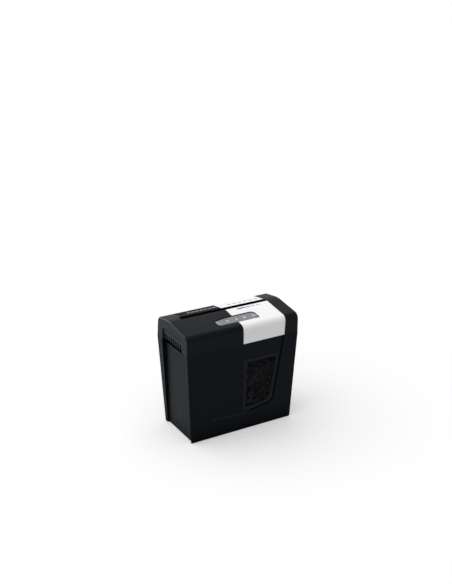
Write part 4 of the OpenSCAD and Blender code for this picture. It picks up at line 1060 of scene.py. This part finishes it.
for slot, nodes in (("cutter_steel", ["cutter_front", "cutter_rear"]),
                    ("gear_steel", ["cutter_gear", "sync_gear_front", "sync_gear_rear",
                                    "circlip_front", "circlip_rear"])):
    for node in nodes:
        finish([node], turned_metal(node + "_steel", (0.30, 0.30, 0.31, 1), (0.52, 0.52, 0.53, 1),
                                    0.34, axis_of(node)))
rolled = turned_metal("rolled_steel", (0.44, 0.45, 0.46, 1), (0.60, 0.61, 0.62, 1), 0.38)
finish(["side_plate_left", "side_plate_right"], rolled)
finish(["tie_rods", "gear_pins"], bright_steel)
finish(["gearbox_screws", "motor_screws"], bright_steel)
bronze = turned_metal("oiled_bronze", (0.34, 0.20, 0.09, 1), (0.58, 0.38, 0.18, 1), 0.42)
finish(["shaft_bushes"], bronze)


# ---- Gear train
# Moulded nylon idlers with a trace of grease, in a black cover screwed to the right-hand plate.
nylon = mottled("natural_nylon", lambda place: smeared(place, 90.0), (0.78, 0.76, 0.68, 1),
                (0.55, 0.50, 0.38, 1), (0, 1, 0.45, 0.2), Specular_IOR_Level=0.45,
                Subsurface_Weight=0.15, Subsurface_Radius=(0.004, 0.003, 0.002))
finish(["idler_one", "idler_two"], nylon)
gearbox_black = moulded_plastic("gearbox_black", (40, 42, 45), (64, 66, 70), 0.5)
moulded_copy("gearbox_cover", 0.0005, gearbox_black, "gearbox_moulding")


# ---- Motor
# A small mains-rectified motor: drawn and zinc-plated steel can, moulded end bell and fan, a
# laminated rotor on a ground shaft and a brass pinion.
motor_axis = axis_of("motor_can")
plated = turned_metal("plated_can", (0.42, 0.43, 0.44, 1), (0.58, 0.58, 0.56, 1), 0.3, motor_axis)
finish(["motor_can"], plated)
finish(["motor_end_bell", "motor_fan"], comb_black)


def banded(place, direction, scale, distortion=0.0):
    """Even bands across a direction, like stacked sheets or turns of wire."""
    return put(place, "ShaderNodeTexWave", {"Vector": place, "Scale": scale, "Distortion": distortion},
               bands_direction=direction)["Fac"]


iron = mottled("laminated_iron", lambda place: banded(place, "X", 320.0, 0.4),
               (0.16, 0.15, 0.15, 1), (0.34, 0.31, 0.28, 1), Metallic=0.9, Roughness=0.45)
finish(["motor_rotor"], iron)
brass = turned_metal("brass", (0.58, 0.42, 0.16, 1), (0.78, 0.60, 0.28, 1), 0.3, motor_axis)
finish(["motor_pinion"], brass)


# ---- Circuit boards, lamps and sensors
# Green glass-fibre boards with etched tracks, clear acrylic rods that carry the lamps' light to
# the strip, and a pair of infra-red parts that see paper in the throat.
board, shader, place = new_material("solder_mask", Specular_IOR_Level=0.5, Roughness=0.3)
between = put(place, "ShaderNodeTexVoronoi", {"Vector": place, "Scale": 260.0},
              feature="DISTANCE_TO_EDGE")["Distance"]
mask = blend_of(ranged(between, 0.06, 0.10, 1, 0), (0.012, 0.085, 0.035, 1), (0.030, 0.17, 0.07, 1))
wound = blend_of(banded(place, "Z", 160.0), (0.05, 0.06, 0.09, 1), (0.10, 0.10, 0.12, 1))
# what stands on the power board lies above its face and below the control board
power_low, power_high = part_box("power_board")
board_thick = 0.0017
height = put(place, "ShaderNodeSeparateXYZ", {"Vector": place})["Z"]
on_power = worked("MULTIPLY", worked("GREATER_THAN", height, power_low.z + board_thick),
                  worked("LESS_THAN", height, power_high.z + 0.01))
fill(shader, {"Base Color": blend_of(on_power, mask, wound)})
finish(["control_board", "power_board"], board)
acrylic = mottled("clear_acrylic", lambda place: cloudy(place, 700.0), (0.92, 0.95, 0.95, 1),
                  grey(1), (0.3, 0.7, 0.05, 0.25), IOR=1.49, Transmission_Weight=1.0)
finish(["light_guides"], acrylic)
epoxy = moulded_plastic("dark_epoxy", (28, 20, 36), (50, 40, 60), 0.2, 3000, 0.00001, 0.5)
finish(["sensor_emitter", "sensor_receiver"], epoxy)


# ---- Switches and cord inlet
# A rocker switch in a snap-in bezel on the back, marked with the usual bar and ring, a lever
# switch that the bin's rib closes, and a rubber gland for the mains lead.
switch_black = moulded_plastic("switch_black_moulding", (14, 14, 15), (38, 38, 40), 0.3, 2600,
                               0.00001, 0.15)
moulded_copy("switch_bezel", 0.0004, switch_black, "rocker_bezel")
moulded_copy("switch_rocker", 0.0003, switch_black, "rocker_key")
lever_black = moulded_plastic("lever_switch_black", (20, 20, 22), (40, 40, 44), 0.4)
finish(["safety_switch"], lever_black)
rear_lean, rocker_tip = math.radians(7), math.radians(8)
rocker_pivot = np.array([-0.096, 0.080301, 0.267817])


def on_rocker(side):
    """A placing function for marks on the rocker's upper (1) or lower (-1) face, which slope in to
    meet at its middle: points of the key's own section, turned about X to its place."""
    slope = np.array([4.8, 1.1]) / math.hypot(1.1, 4.8)
    turn = rear_lean - rocker_tip

    def place_on(u, v, w):
        y = 0.0023 + v * slope[1] + w * slope[0]
        z = side * (v * slope[0] - w * slope[1])
        return rocker_pivot + np.stack([u, y * math.cos(turn) - z * math.sin(turn),
                                        y * math.sin(turn) + z * math.cos(turn)], -1)
    return place_on


bar, ring = [(0, 0.0014), (0, 0.0034)], ring_path(0, 0.0024, 0.0010, 20)
rocker_marks = solid_piece("rocker_marks", printed([(bar, 0.0005)], on_rocker(1))
                           + printed([(ring, 0.0004, True)], on_rocker(-1)), white_ink, False)
fitted(rocker_marks, "rocker")

# the gland is a ring turned about the lead, with a groove that the wall of the head sits in
gland_rubber = moulded_plastic("gland_rubber", (20, 20, 20), (34, 34, 34), 0.75, 900)
gland_along, gland_radius = np.array([
    (1.5, 4.9), (1.2, 4.1), (0.6, 3.7), (-0.2, 3.6), (-4.3, 3.6), (-4.7, 3.9), (-4.7, 7.0),
    (-4.5, 7.3), (-4.2, 7.4), (-3.5, 7.4), (-3.2, 7.1), (-3.1, 5.8), (0.05, 5.8), (0.1, 7.6),
    (0.3, 7.95), (0.6, 8.0), (1.0, 7.8), (1.3, 7.3), (1.5, 6.4)]).T / 1000
gland_place, gland_axis = (-0.128, 0.082281, 0.264), (0, math.cos(rear_lean), math.sin(rear_lean))
gland = solid_piece("cord_gland_ring", [spun(gland_along, gland_radius, gland_place, gland_axis)],
                    gland_rubber)
fitted(gland, "head", "cord_gland")


# ---- Updating the scene
bpy.context.view_layer.update()
